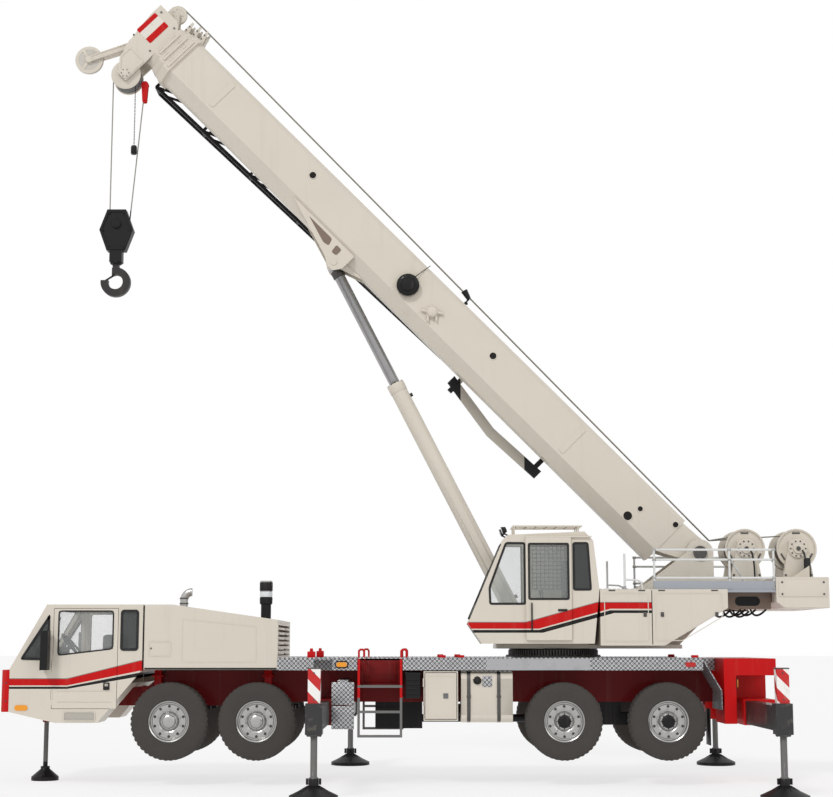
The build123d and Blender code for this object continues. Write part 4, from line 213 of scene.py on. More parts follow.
def painted(name, colour, stripes=(), gloss=0.34, masked=None):
    """Sprayed machine paint with faint clouds, dust runs, side stripes and areas in other colours."""
    made = Finish(name)
    x, y, z = made.axes()
    cloud = made.noise(1.7)
    runs = made.noise(1.0, 4, (9, 9, 0.5))
    grime = made.noise(14, 5)
    base = made.mix(cloud, shade(colour, 0.955), shade(colour, 1.03))
    for tint, top, bottom, kink, end, lag, limit in stripes:
        rise = ((x - kink) / (end - kink)).clamped()
        late = ((x - kink - lag) / (end - kink)).clamped()
        band = (z < top[0] + rise * (top[1] - top[0])) * (z > bottom[0] + late * (bottom[1] - bottom[0]))
        base = made.mix(band * (x < limit), base, tint)
    for tint, mask in masked(x, y, z) if masked else ():
        base = made.mix(mask, base, tint)
    dusty = ((runs - 0.56) * 2.4).clamped() * (0.35 + grime * 0.5)
    base = made.mix(dusty * 0.3, base, DUST)
    made.put(base_color=base, roughness=gloss + grime * 0.16 + dusty * 0.2, coat_weight=0.08 - dusty * 0.06)
    made.shine(0.16)
    return made.bump(made.noise(220, 2) + grime * 0.4, 0.0006, 0.25)


HEAD_BARS = 0.40  # red and pale bar together, across the boom's head
POST_BARS = 0.34  # red and white bar together, on the jack's post
BEAM_TOP = 1.292


def near(x, z, spot, reach):
    """1 inside a circle seen from the side."""
    across, up = x - spot.x, z - spot.z
    return across * across + up * up < reach * reach


def hazard(name):
    """Red and pale slanting bars across the boom's head."""
    made = Finish(name)
    x, _, z = made.axes()
    bars = ((z - x) / HEAD_BARS).part() < 0.5
    scuff = made.noise(9, 5)
    base = made.mix(bars, RED, tone(222, 216, 206))
    base = made.mix(((scuff - 0.58) * 3).clamped() * 0.4, base, DUST)
    made.put(base_color=base, roughness=0.36 + scuff * 0.2, coat_weight=0.06)
    made.shine(0.15)
    return made.bump(made.noise(200, 2), 0.0006, 0.2)


# Each stripe: colour, top edge before and behind its rise, bottom edge likewise, the X where the rise
# starts and ends, how far the bottom edge lags, and the X where the stripe stops
LINE = tone(120, 118, 112)
CAB_STRIPES = (
    (LINE, (1.588, 1.854), (1.577, 1.843), -5.22, -4.14, 0, BEYOND),
    (RED, (1.577, 1.843), (1.482, 1.698), -5.22, -4.14, 0, BEYOND),
    (BLACK, (1.463, 1.672), (1.431, 1.615), -5.22, -4.14, 0, BEYOND))
UPPER_STRIPES = (
    (LINE, (2.425, 2.723), (2.414, 2.712), 1.64, 2.72, 0, 3.55),
    (RED, (2.414, 2.712), (2.322, 2.620), 1.64, 2.72, 0.2, 3.55),
    (BLACK, (2.304, 2.598), (2.262, 2.556), 1.84, 2.92, 0.06, 3.55))


LUG_PITCH = 0.034


def tread_plate(name, plain_from, plain_to):
    """Bright aluminium plate with raised lugs set crosswise, plain over one stretch of the crane."""
    made = Finish(name)
    x, y, z = made.axes()
    first = (x + y + z) / LUG_PITCH
    second = (x - y - z) / LUG_PITCH
    lug_one = (abs(first.part() - 0.5) < 0.17) * (abs((second * 0.5).part() - 0.5) < 0.2)
    lug_two = (abs(second.part() - 0.5) < 0.17) * (abs((first * 0.5).part() - 0.5) < 0.2)
    lugs = lug_one.larger(lug_two) * (x < plain_from).larger(x > plain_to)
    wear = made.noise(5, 5)
    base = made.mix(lugs, tone(112, 112, 114), tone(238, 238, 240))
    base = made.mix((x > plain_from) * (x < plain_to), base, tone(168, 168, 170))
    base = made.mix(((wear - 0.5) * 2).clamped() * 0.5, base, tone(110, 106, 100))
    made.put(base_color=base, metallic=0.75, roughness=0.42 - lugs * 0.12 + wear * 0.15)
    return made.bump(lugs, 0.003, 0.8)


def metal(name, colour, rough, grain=(40, 1, 1), metallic=1.0):
    """Bare metal with a fine directional grain."""
    made = Finish(name)
    lay = made.noise(20, 4, grain)
    cloud = made.noise(3)
    base = made.mix(lay, shade(colour, 0.86), shade(colour, 1.06))
    base = made.mix(((cloud - 0.55) * 2).clamped() * 0.4, base, shade(colour, 0.6))
    made.put(base_color=base, metallic=metallic, roughness=rough + lay * 0.12)
    return made.bump(lay, 0.0005, 0.15)


def rubber(name, colour, rough=0.82):
    """Dusty black rubber."""
    made = Finish(name)
    cloud = made.noise(4, 4)
    fine = made.noise(90, 3)
    base = made.mix(cloud, shade(colour, 0.82), shade(colour, 1.12))
    base = made.mix(((fine - 0.5) * 2).clamped() * 0.25, base, tone(112, 106, 98))
    made.put(base_color=base, roughness=rough + cloud * 0.1)
    made.shine(0.3)
    return made.bump(fine, 0.0012, 0.35)


def glass(name, colour, alpha, darker):
    """Window glass: its tint shows by alpha, with a trace of dust, and some panes are darker."""
    made = Finish(name)
    haze = made.noise(3, 4)
    dark = darker(*made.axes())
    base = made.mix(dark, made.mix(haze, colour, shade(colour, 1.25)), DARK_PANE)
    return made.put(
        base_color=base, roughness=0.05 + haze * 0.06, alpha=alpha + dark * (DARK_PANE_ALPHA - alpha))


def lens(name, colour):
    """Ribbed lamp lens."""
    made = Finish(name)
    x, y, z = made.axes()
    ribs = ((x + y + z) * 420).wave()
    made.put(base_color=made.mix(ribs * 0.5 + 0.5, shade(colour, 0.8), shade(colour, 1.25)), roughness=0.16)
    return made.bump(ribs, 0.001, 0.5)


def chevrons(name):
    """Red and white slanting bars on the jack's post, black on the beam below its top."""
    made = Finish(name)
    x, y, z = made.axes()
    bars = ((x + abs(y) + z) / POST_BARS).part() < 0.5
    post = z > BEAM_TOP
    scuff = made.noise(9, 5)
    base = made.mix(bars, RED, WHITE)
    base = made.mix(post, BLACK, base)
    base = made.mix(((scuff - 0.58) * 3).clamped() * 0.5, base, DUST)
    made.put(base_color=base, roughness=0.38 + scuff * 0.2, coat_weight=0.2)
    return made.bump(made.noise(200, 2), 0.0006, 0.2)


beige = painted("beige_paint", BEIGE)
cab_paint = painted(
    "cab_paint_striped", BEIGE, CAB_STRIPES, masked=lambda x, y, z: [(BLACK, abs(y) > 1.275)])
upper_paint = painted("upper_paint_striped", BEIGE, UPPER_STRIPES)
red = painted("red_paint", RED)
# The carrier frame is red; the darker red over most of it is painted shade, plain red only behind x 4.55
shaded_red_frame = painted("red_frame_in_painted_shade", RED_IN_PAINTED_SHADE, gloss=0.45, masked=lambda x, y, z: [(RED, x > 4.55)])
black = painted("black_paint", BLACK, gloss=0.42)
grey_paint = painted("grey_paint", tone(120, 120, 120), gloss=0.5)
plate = tread_plate("tread_plate", BEYOND, BEYOND)
deck_plate = tread_plate("deck_plate", 1.05, 2.6)
# a brownish tone as painted shade, for the tail panels and the lift bracket openings
painted_shade_brown = painted("brown_in_painted_shade", tone(126, 110, 98), gloss=0.5)
rail_paint = painted("rail_paint", RAIL_GREY, gloss=0.3)
toe_paint = painted("toe_board_paint", TOE_GREY, gloss=0.4)
rail_set = painted("rail_set_paint", RAIL_GREY, gloss=0.3, masked=lambda x, y, z: [(TOE_GREY, z < 3.04)])
jack_paint = painted("jack_paint", BLACK, gloss=0.4, masked=lambda x, y, z: [
    (tone(104, 103, 101), z > 0.286)])
stow_paint = painted("jib_paint", BLACK, gloss=0.42, masked=lambda x, y, z: [
    (tone(176, 170, 160), (x > 0.72) * (x < 1.75))])
# beige greyed as painted shade for the cab's step wells, and the real pale grey of the door labels
step_shade_and_label_grey = painted("grey_of_step_shade_and_label", tone(176, 171, 162), gloss=0.45)
# near black, as painted shade in the boom's recesses
recess_painted_shade = painted("recess_painted_shade", tone(30, 28, 27), gloss=0.7)
ladder_paint = painted("ladder_paint", tone(112, 110, 108), gloss=0.4, masked=lambda x, y, z: [
    (RED, (z > 1.30) * (abs(z - 1.466) > 0.019)), (BLACK, x > -0.20)])
hook_paint = painted("hook_block_paint", BLACK, gloss=0.4, masked=lambda x, y, z: [
    (tone(150, 146, 138), z > 9.105), (tone(54, 52, 51), z < 8.23)])
NOSE_AT = boom_spot(12.72, -1.243)
head_paint = painted("boom_head_paint", BEIGE, masked=lambda x, y, z: [
    (tone(196, 191, 182), near(x, z, NOSE_AT, 0.23) * (abs(y) < 0.034))])
polished = metal("polished_aluminium", tone(176, 175, 173), 0.22, (1, 30, 1))
rod_steel = metal("rod_steel", tone(168, 168, 169), 0.26, (0.2, 0.2, 0.2))
dark_steel = metal("dark_steel", tone(92, 90, 88), 0.45)
rope_steel = metal("rope_steel", tone(150, 146, 138), 0.42, (60, 60, 160))
tyre_rubber = rubber("tyre_rubber", tone(66, 62, 59))
black_rubber = rubber("black_rubber", tone(34, 34, 35), 0.7)
clear_glass = glass("clear_glass", tone(214, 218, 216), 0.16, lambda x, y, z: x > BEYOND)
cab_panes = glass("cab_panes", WINDOW_TINT, 0.22, lambda x, y, z: y < -1.2)
upper_glass = glass("upper_glass", WINDOW_TINT, 0.18, lambda x, y, z: x > 2.35)
amber = lens("amber_lens", tone(236, 150, 30))
red_lens = lens("red_lens", tone(180, 16, 16))
clear_lens = lens("clear_lens", tone(220, 224, 226))
post_stripes = chevrons("post_stripes")
hazard_stripes = hazard("head_stripes")
cab_trim = rubber("cab_trim_plastic", tone(46, 46, 48), 0.6)
seat_vinyl = rubber("seat_vinyl", tone(52, 50, 50), 0.5)


# Shop operations
WELD = 1e-5
SMOOTH_BELOW = 35  # degrees between faces that are shaded as one
NODE_SMOOTH_BELOW = 30
WORN_ABOVE = 40


class Piece:
    """One visible piece: a bmesh that grows by shop operations, then rides on a body."""

    def __init__(self, name, body, finish, *stands_for):
        self.name = name
        self.body = body
        self.finish = finish
        self.stands_for = stands_for
        self.mesh = bmesh.new()

    def round_edges(self, verts, size):
        """Rounds the edges that meet at some vertices."""
        edges = list({edge for vert in verts for edge in vert.link_edges})
        bmesh.ops.bevel(
            self.mesh, geom=edges, offset=size, offset_type="OFFSET", segments=2, profile=0.5,
            affect="EDGES", material=-1, clamp_overlap=True)

    def slab(self, low, high, edge=0.004):
        """A block between two corners, its edges rounded."""
        low, high = Vector(low), Vector(high)
        spot = Matrix.LocRotScale((low + high) / 2, None, high - low)
        made = bmesh.ops.create_cube(self.mesh, size=1, matrix=spot)["verts"]
        if edge:
            self.round_edges(made, edge)
        return self

    def bar(self, start, end, radius, sides=16, tip=None):
        """A round bar, or a cone where a tip radius is given."""
        start, end = Vector(start), Vector(end)
        run = end - start
        turn = run.to_track_quat("Z", "Y").to_matrix().to_4x4()
        bmesh.ops.create_cone(
            self.mesh, cap_ends=True, segments=sides, radius1=radius,
            radius2=radius if tip is None else tip, depth=run.length,
            matrix=Matrix.Translation((start + end) / 2) @ turn)
        return self

    def outline(self, points, corner=0):
        """A flat face, its corners rounded where a size is given."""
        before = set(self.mesh.faces)
        face = self.mesh.faces.new([self.mesh.verts.new(point) for point in points])
        if corner:
            bmesh.ops.bevel(
                self.mesh, geom=list(face.verts), offset=corner, offset_type="OFFSET", segments=4,
                profile=0.5, affect="VERTICES", material=-1, clamp_overlap=True)
        return next(face for face in self.mesh.faces if face not in before)

    def pulled(self, faces, reach):
        """Pulls flat faces out to a thickness."""
        grown = bmesh.ops.extrude_face_region(self.mesh, geom=faces)["geom"]
        verts = [part for part in grown if isinstance(part, bmesh.types.BMVert)]
        bmesh.ops.translate(self.mesh, verts=verts, vec=Vector(reach))

    def sheet_metal(self, points, reach, corner=0):
        """A flat outline, its corners rounded, pulled out to a thickness."""
        self.pulled([self.outline(points, corner)], reach)
        return self

    def ring(self, points, reach, corner, width):
        """A rounded window frame: an outline inset, its middle taken out, then pulled out to a thickness."""
        face = self.outline(points, corner)
        rim = bmesh.ops.inset_region(
            self.mesh, faces=[face], thickness=width, use_boundary=True, use_even_offset=True)["faces"]
        bmesh.ops.delete(self.mesh, geom=[face], context="FACES_ONLY")
        self.pulled(rim, reach)
        return self

    def run(self, points, radius, sides=10):
        """A pipe or rope through points, with a ball at each bend."""
        for start, end in zip(points, points[1:]):
            self.bar(start, end, radius, sides)
        for point in points[1:-1]:
            bmesh.ops.create_uvsphere(
                self.mesh, u_segments=sides, v_segments=max(4, sides // 2), radius=radius,
                matrix=Matrix.Translation(point))
        return self

    def turned(self, profile, centre, axis, sides=48):
        """A profile of radius and height, turned round an axis on a lathe."""
        axis = Vector(axis).normalized()
        out = axis.orthogonal().normalized()
        verts = [self.mesh.verts.new(Vector(centre) + out * r + axis * h) for r, h in profile]
        edges = [self.mesh.edges.new(pair) for pair in zip(verts, verts[1:])]
        bmesh.ops.spin(
            self.mesh, geom=verts + edges, cent=centre, axis=axis, angle=2 * math.pi, steps=sides,
            use_merge=True, use_normal_flip=False, use_duplicate=False)
        return self

    def bolt(self, spot, axis, radius=0.014, height=0.012):
        """A hexagon bolt head."""
        return self.bar(Vector(spot), Vector(spot) + Vector(axis) * height, radius, 6)

    def ring_of(self, count, centre, axis, shape):
        """Repeats what shape adds, evenly round an axis."""
        for step in range(count):
            before = set(self.mesh.verts)
            shape(self)
            new = [vert for vert in self.mesh.verts if vert not in before]
            bmesh.ops.rotate(
                self.mesh, verts=new, cent=Vector(centre),
                matrix=Matrix.Rotation(2 * math.pi * step / count, 3, Vector(axis)))
        return self

    def done(self, sharp=SMOOTH_BELOW):
        """Closes the mesh and makes it an object on its body."""
        bmesh.ops.remove_doubles(self.mesh, verts=self.mesh.verts, dist=WELD)
        bmesh.ops.recalc_face_normals(self.mesh, faces=self.mesh.faces)
        data = bpy.data.meshes.new(self.name)
        self.mesh.to_mesh(data)
        self.mesh.free()
        return settle(self.name, data, self.body, self.finish, self.stands_for, sharp)


def settle(name, data, body, finish, stands_for, sharp, bevel=0):
    """Makes a mesh an object with its finish, and lets it ride on its body, if it has one."""
    data.materials.clear()
    data.materials.append(finish.material)
    data.shade_smooth()
    data.set_sharp_from_angle(angle=math.radians(sharp))
    made = bpy.data.objects.new(name, data)
    bpy.context.collection.objects.link(made)
    if bevel:
        worn = made.modifiers.new("worn_edges", "BEVEL")
        worn.width = bevel
        worn.segments = 2
        worn.limit_method = "ANGLE"
        worn.angle_limit = math.radians(WORN_ABOVE)
        worn.harden_normals = True
    if body:
        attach(made, body)
    if stands_for:
        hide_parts(*stands_for)
    return made


def finish_all(*pieces):
    """Makes each piece an object, in order."""
    for piece in pieces:
        piece.done()


BODY_OF = {node: body for body, nodes in frame["record"]["behaviour"]["bodies"].items() for node in nodes}


def dress(node, finish, bevel):
    """Stands a copy of a CAD node, merged, with softened edges and a finish, in the node's place."""
    work = bmesh.new()
    work.from_mesh(frame["nodes"][node].data)
    bmesh.ops.remove_doubles(work, verts=work.verts, dist=WELD)
    bmesh.ops.dissolve_limit(
        work, angle_limit=math.radians(1), use_dissolve_boundaries=False, verts=work.verts, edges=work.edges)
    data = bpy.data.meshes.new(node + "_dressed")
    work.to_mesh(data)
    work.free()
    return settle(node + "_dressed", data, BODY_OF[node], finish, (node,), NODE_SMOOTH_BELOW, bevel)


# CAD nodes that keep their own shape: their finish and the width of their worn edges
DRESSED = {
    "carrier_frame": (shaded_red_frame, 0.006), "carrier_deck": (deck_plate, 0.003), "front_bumper": (red, 0.01),
    "cab_shell": (cab_paint, 0.008), "cab_door_left": (cab_paint, 0.004),
    "cab_door_right": (cab_paint, 0.004), "cab_glass": (cab_panes, 0), "engine_hood": (beige, 0.008),
    "engine_block": (dark_steel, 0.02), "exhaust_and_intake": (polished, 0), "fuel_tank": (beige, 0),
    "toolbox": (beige, 0.006), "toolbox_door": (beige, 0.006), "access_ladder": (ladder_paint, 0.004),
    "axles": (black, 0.004), "drive_line": (black, 0.006), "slew_ring": (black, 0.002),
    "turntable": (beige, 0.006), "side_covers": (upper_paint, 0.01), "counterweight": (beige, 0.012),
    "winches": (beige, 0.006), "handrails": (rail_set, 0), "operator_cab_shell": (upper_paint, 0.01),
    "operator_cab_glass": (upper_glass, 0), "operator_door": (upper_paint, 0.008),
    "boom_foot_pin": (dark_steel, 0.004), "boom_base": (beige, 0.005), "boom_jib": (stow_paint, 0.003),
    "boom_section_2": (beige, 0.004), "boom_section_3": (beige, 0.004), "boom_section_4": (head_paint, 0.004),
    "head_sheaves": (grey_paint, 0), "hook_block": (hook_paint, 0.006), "lift_foot_pin": (dark_steel, 0.003),
    "lift_barrel": (beige, 0), "lift_piston": (dark_steel, 0), "lift_rod": (rod_steel, 0),
    "front_jack": (jack_paint, 0)}
for end in ("front", "rear"):
    for side in SIDES:
        DRESSED["outrigger_beam_%s_%s" % (end, side)] = (post_stripes, 0.006)
        DRESSED["outrigger_jack_%s_%s" % (end, side)] = (jack_paint, 0)
for number in (1, 2):
    for side in SIDES:
        DRESSED["knuckle_%d_%s" % (number, side)] = (black, 0.004)
for node, (finish, bevel) in DRESSED.items():
    dress(node, finish, bevel)


# Outlines and profiles
def at_side(points, y):
    """Side-view points, X and Z, set at one Y."""
    return [(x, y, z) for x, z in points]


def rectangle(x0, x1, z0, z1):
    """A side-view rectangle."""
    return (x0, z0), (x1, z0), (x1, z1), (x0, z1)


def side_box(x0, x1, z0, z1, y):
    """A side-view rectangle set at one Y."""
    return at_side(rectangle(x0, x1, z0, z1), y)


def spread(points, by):
    """An outline pushed away from its middle."""
    mid = Vector((sum(p[0] for p in points), sum(p[1] for p in points))) / len(points)
    far = []
    for point in points:
        away = Vector(point) - mid
        far.append(tuple(mid + away * (1 + by / away.length)))
    return far


def arc(start, control, end, steps=10):
    """Points along a curve that leaves start and reaches end bent towards control."""
    start, control, end = Vector(start), Vector(control), Vector(end)
    spots = []
    for step in range(steps + 1):
        t = step / steps
        spots.append(start * (1 - t) ** 2 + control * (2 * t * (1 - t)) + end * t ** 2)
    return spots


def band(inner, outer, low, high):
    """A closed profile of a plain ring: two radii and two heights."""
    return (inner, low), (outer, low), (outer, high), (inner, high), (inner, low)


# Wheels: turned tyre with lugs, polished disc, dark plugs as painted shade in its hand holes, nuts and hub
# cap
TYRE_PROFILE = (
    (0.286, 0.150), (0.300, 0.178), (0.322, 0.190), (0.345, 0.186), (0.400, 0.197), (0.455, 0.197),
    (0.505, 0.190), (0.542, 0.179), (0.563, 0.160), (0.568, 0.120))
RIM_PROFILE = (
    (0.286, 0.172), (0.302, 0.182), (0.306, 0.176), (0.296, 0.160), (0.284, 0.150), (0.272, 0.128),
    (0.258, 0.128), (0.246, 0.142), (0.190, 0.148), (0.150, 0.142), (0.135, 0.128), (0.100, 0.124),
    (0.100, 0.060), (0.262, 0.060), (0.270, -0.150), (0.302, -0.182), (0.286, -0.172))
LUGS_ROUND = 44
LUG_HEIGHT = 0.018
LUG_ROWS = ((0.088, 0.158, 0.026), (0.012, 0.076, 0.020), (-0.076, -0.012, 0.020), (-0.158, -0.088, 0.026))
WHEEL_NUTS = 10
NUT_CIRCLE = 0.168
HAND_HOLE_CIRCLE = 0.222


def flipped(profile):
    """A profile mirrored to a wheel's other flank."""
    return [(r, -h) for r, h in reversed(profile)]


def tyre_lugs(piece):
    """Shoulder and centre blocks of the road tread, repeated round the tyre."""
    for index, (inner, outer, half) in enumerate(LUG_ROWS):
        shift = math.pi / LUGS_ROUND * (index % 2)
        middle = Vector((0, (inner + outer) / 2, TYRE_RADIUS - LUG_HEIGHT / 2))
        size = Vector((half * 2, outer - inner, LUG_HEIGHT))
        verts = bmesh.ops.create_cube(
            piece.mesh, size=1, matrix=Matrix.LocRotScale(middle, None, size))["verts"]
        top = [vert for vert in verts if vert.co.z > middle.z]
        bmesh.ops.scale(
            piece.mesh, verts=top, vec=(0.86, 0.93, 1),
            space=Matrix.Translation((0, -middle.y, -TYRE_RADIUS)))
        bmesh.ops.rotate(piece.mesh, verts=verts, cent=ORIGIN, matrix=Matrix.Rotation(shift, 3, "Y"))
        faces = list({face for vert in verts for face in vert.link_faces})
        edges = list({edge for vert in verts for edge in vert.link_edges})
        bmesh.ops.spin(
            piece.mesh, geom=verts + edges + faces, cent=ORIGIN, axis=ACROSS, steps=LUGS_ROUND - 1,
            angle=2 * math.pi * (LUGS_ROUND - 1) / LUGS_ROUND, use_duplicate=True, use_merge=False)


def wheel_nut(piece):
    """A nut and the end of its stud."""
    piece.bar((0, -0.140, NUT_CIRCLE), (0, -0.168, NUT_CIRCLE), 0.0165, 6)
    piece.bar((0, -0.168, NUT_CIRCLE), (0, -0.182, NUT_CIRCLE), 0.010, 10)


def wheel_parts():
    """Meshes of one left wheel round the origin, outward to -Y: tyre, disc, nuts and cap."""
    tyre = Piece("tyre", "", tyre_rubber)
    tyre.turned(list(TYRE_PROFILE) + flipped(TYRE_PROFILE), ORIGIN, LEFT, 72)
    tyre_lugs(tyre)
    # dark rubber plugs on the disc stand for its hand holes as painted shade
    tyre.ring_of(WHEEL_NUTS, ORIGIN, ACROSS, lambda p: p.bar(
        (0, -0.100, HAND_HOLE_CIRCLE), (0, -0.148, HAND_HOLE_CIRCLE), 0.021))
    disc = Piece("disc", "", polished)
    disc.turned(list(RIM_PROFILE) + [RIM_PROFILE[0]], ORIGIN, LEFT, 72)
    nuts = Piece("nuts", "", polished)
    nuts.ring_of(WHEEL_NUTS, ORIGIN, ACROSS, wheel_nut)
    nuts.turned(
        ((0.128, 0.10), (0.128, 0.150), (0.118, 0.160), (0.104, 0.162), (0.096, 0.176)), ORIGIN, LEFT, 40)
    cap = Piece("cap", "", polished)
    cap.turned(
        ((0.097, 0.150), (0.097, 0.176), (0.090, 0.190), (0.074, 0.198), (0.040, 0.201), (0.0, 0.202)),
        ORIGIN, LEFT, 40)
    cap.ring_of(8, ORIGIN, ACROSS, lambda p: p.bolt((0, -0.160, 0.110), LEFT, 0.008, 0.010))
    return {"tyre": tyre, "disc": disc, "nuts": nuts, "cap": cap}


parts = wheel_parts()
for number, x in enumerate(AXLES, 1):
    for side, sign in SIDES.items():
        node = "wheel_%d_%s" % (number, side)
        for kind, part in parts.items():
            finish = black if kind == "cap" and number > 2 else part.finish
            spin = Piece("%s_%s" % (node, kind), node, finish, *((node,) if kind == "tyre" else ()))
            spin.mesh = part.mesh.copy()
            bmesh.ops.scale(spin.mesh, verts=spin.mesh.verts, vec=(1, -sign, 1))
            bmesh.ops.translate(spin.mesh, verts=spin.mesh.verts, vec=(x, sign * WHEEL_Y, AXLE_Z))
            spin.done()


# Driver's cab: window rubbers, wipers, door panes and trims, steps, lamps, grille
CAB_FACE = 1.262
DOOR_WINDOW = ((-5.372, 1.924), (-4.552, 2.021), (-4.552, 2.588), (-5.372, 2.588))
QUARTER = ((-5.919, 1.878), (-5.512, 1.878), (-5.512, 2.526))
REAR_LIGHT = rectangle(-4.43, -4.18, 2.02, 2.578)

cab_rubber = Piece("cab_window_rubbers", "carrier", black_rubber)
for sign in SIDES.values():
    for window in (QUARTER, REAR_LIGHT):
        rubber_line = at_side(spread(window, 0.03), sign * (CAB_FACE - 0.002))
        cab_rubber.ring(rubber_line, (0, sign * 0.010, 0), 0.05, 0.036)
    cab_rubber.slab((-4.118, sign * 1.205, 1.74), (-4.082, sign * 1.238, 2.66), 0.008)
screen_low, screen_high = Vector((-6.030, 0, 1.828)), Vector((-5.556, 0, 2.683))
lean = (screen_high - screen_low).normalized()
ahead = Vector((-lean.z, 0, lean.x))
low_edge, high_edge = screen_low + lean * 0.05, screen_high - lean * 0.05
screen_half = ACROSS * 1.19
screen_line = [
    low_edge - screen_half, low_edge + screen_half, high_edge + screen_half, high_edge - screen_half]
cab_rubber.ring([spot + ahead * 0.004 for spot in screen_line], ahead * 0.010, 0.09, 0.045)
for y in (-0.75, 0.10):
    foot = low_edge + ACROSS * y + ahead * 0.022
    cab_rubber.bar(foot, foot + lean * 0.50 + ACROSS * 0.34, 0.007, 8)
    cab_rubber.bar(foot + lean * 0.18 + ACROSS * 0.42, foot + lean * 0.72 + ACROSS * 0.22, 0.009, 8)
cab_rubber.done()

for side, sign in SIDES.items():
    body = "cab_door_" + side
    pane = Piece(body + "_pane", body, clear_glass)
    light = spread(DOOR_WINDOW, 0.012)
    pane.sheet_metal(at_side(light, sign * (CAB_FACE - 0.024)), (0, sign * 0.006, 0), 0.05)
    pane.done()
    trim = Piece(body + "_trim", body, black_rubber)
    trim.ring(at_side(light, sign * (CAB_FACE - 0.008)), (0, sign * 0.010, 0), 0.055, 0.022)
    trim.slab((-4.680, sign * 1.258, 1.415), (-4.585, sign * 1.274, 1.525), 0.008)
    trim.slab((-4.672, sign * 1.268, 1.430), (-4.593, sign * 1.290, 1.452), 0.006)
    trim.slab((-5.30, sign * 1.205, 1.80), (-4.62, sign * 1.196, 1.90), 0.004)
    trim.done()
    plate_pale = Piece(body + "_plate", body, step_shade_and_label_grey)
    plate_pale.slab((-4.658, sign * 1.268, 1.468), (-4.607, sign * 1.280, 1.508), 0.004)
    plate_pale.bolt((-4.632, sign * 1.278, 1.488), (0, sign, 0), 0.010, 0.006)
    plate_pale.done()
    bead = Piece(body + "_beads", body, cab_paint)
    for z in (1.235, 1.395):
        bead.slab((-5.36, sign * 1.256, z), (-4.56, sign * 1.269, z + 0.012), 0.004)
    bead.done()

# the step wells are beige, drawn greyer as painted shade in the recess
steps = Piece("cab_step_wells_in_painted_shade", "carrier", step_shade_and_label_grey)
step_lips = Piece("cab_step_lips", "carrier", cab_paint)
cab_lamps = Piece("cab_marker_lamps", "carrier", amber)
for sign in SIDES.values():
    well = side_box(-5.267, -4.786, 0.953, 1.100, sign * (CAB_FACE - 0.003))
    steps.sheet_metal(well, (0, sign * 0.006, 0), 0.04)
    step_lips.ring(well, (0, sign * 0.014, 0), 0.04, 0.014)
    steps.slab((-5.24, sign * 1.250, 0.965), (-4.81, sign * 1.272, 0.985), 0.003)
    marker = side_box(-5.995, -5.80, 1.112, 1.192, sign * (CAB_FACE - 0.004))
    cab_lamps.sheet_metal(marker, (0, sign * 0.014, 0), 0.038)
finish_all(steps, step_lips, cab_lamps)

NOSE = -6.21
LENS_PROFILE = ((0.078, 0), (0.076, 0.012), (0.05, 0.026), (0.0, 0.032))
LAMP_RIM_PROFILE = ((0.078, 0), (0.092, 0.026), (0.092, 0.036), (0.078, 0.036), (0.078, 0))
lamps = Piece("head_lamps", "carrier", clear_lens)
lamp_rims = Piece("head_lamp_rims", "carrier", black)
signals = Piece("front_signal_lamps", "carrier", amber)
for sign in SIDES.values():
    for y in (1.02, 0.8245):
        spot = Vector((NOSE + 0.030, sign * y, 1.402))
        lamps.turned(LENS_PROFILE, spot, FORWARD, 32)
        lamp_rims.turned(LAMP_RIM_PROFILE, spot, FORWARD, 32)
    signals.slab((NOSE - 0.010, sign * 0.54, 1.36), (NOSE + 0.01, sign * 0.68, 1.445), 0.006)
finish_all(lamps, lamp_rims, signals)
grille = Piece("bumper_grille", "carrier", black)
for row in range(6):
    z = 1.315 + row * 0.030
    grille.slab((NOSE - 0.006, -0.42, z), (NOSE + 0.01, 0.42, z + 0.016), 0.004)
grille_edge = [(NOSE + 0.003, y, z) for y, z in rectangle(-0.46, 0.46, 1.295, 1.515)]
grille.ring(grille_edge, FORWARD * 0.012, 0.03, 0.018)
grille.done()
tow = Piece("bumper_fittings", "carrier", dark_steel)
for sign in SIDES.values():
    for z in (1.25, 1.52):
        tow.bolt((-6.13, sign * 1.258, z), (0, sign, 0), 0.012, 0.012)
    tow.slab((NOSE - 0.008, sign * 0.20, 1.14), (NOSE + 0.01, sign * 0.36, 1.24), 0.006)
    tow.bar((NOSE + 0.02, sign * 0.28, 1.19), (NOSE - 0.03, sign * 0.28, 1.19), 0.022, 14)
tow.done()

# Engine hood: side panels, catches, louvres, seals, air cleaner, stack clamps, posts
HOOD_FACE = 1.25
HOOD_PANEL = ((-3.52, 1.82), (-2.40, 1.82), (-2.40, 2.36), (-3.52, 2.47))
hood_trim = Piece("hood_panels", "carrier", beige)
hood_black = Piece("hood_seals", "carrier", black_rubber)
hood_metal = Piece("hood_latches", "carrier", dark_steel)
for sign in SIDES.values():
    y = sign * (HOOD_FACE - 0.003)
    hood_trim.ring(side_box(-4.02, -3.68, 1.91, 2.14, y), (0, sign * 0.009, 0), 0.02, 0.014)
    hood_trim.ring(at_side(HOOD_PANEL, y), (0, sign * 0.007, 0), 0.03, 0.010)
    hood_black.slab((-4.075, sign * 1.243, 1.716), (-2.095, sign * 1.256, 1.742), 0.004)
    hood_metal.bar((-3.98, sign * 1.25, 2.03), (-3.98, sign * 1.262, 2.03), 0.012, 12)
    for row in range(7):
        z = 1.86 + row * 0.075
        hood_trim.slab((-2.100, sign * 0.2, z), (-2.072, sign * 1.02, z + 0.03), 0.004)
finish_all(hood_trim, hood_black, hood_metal)

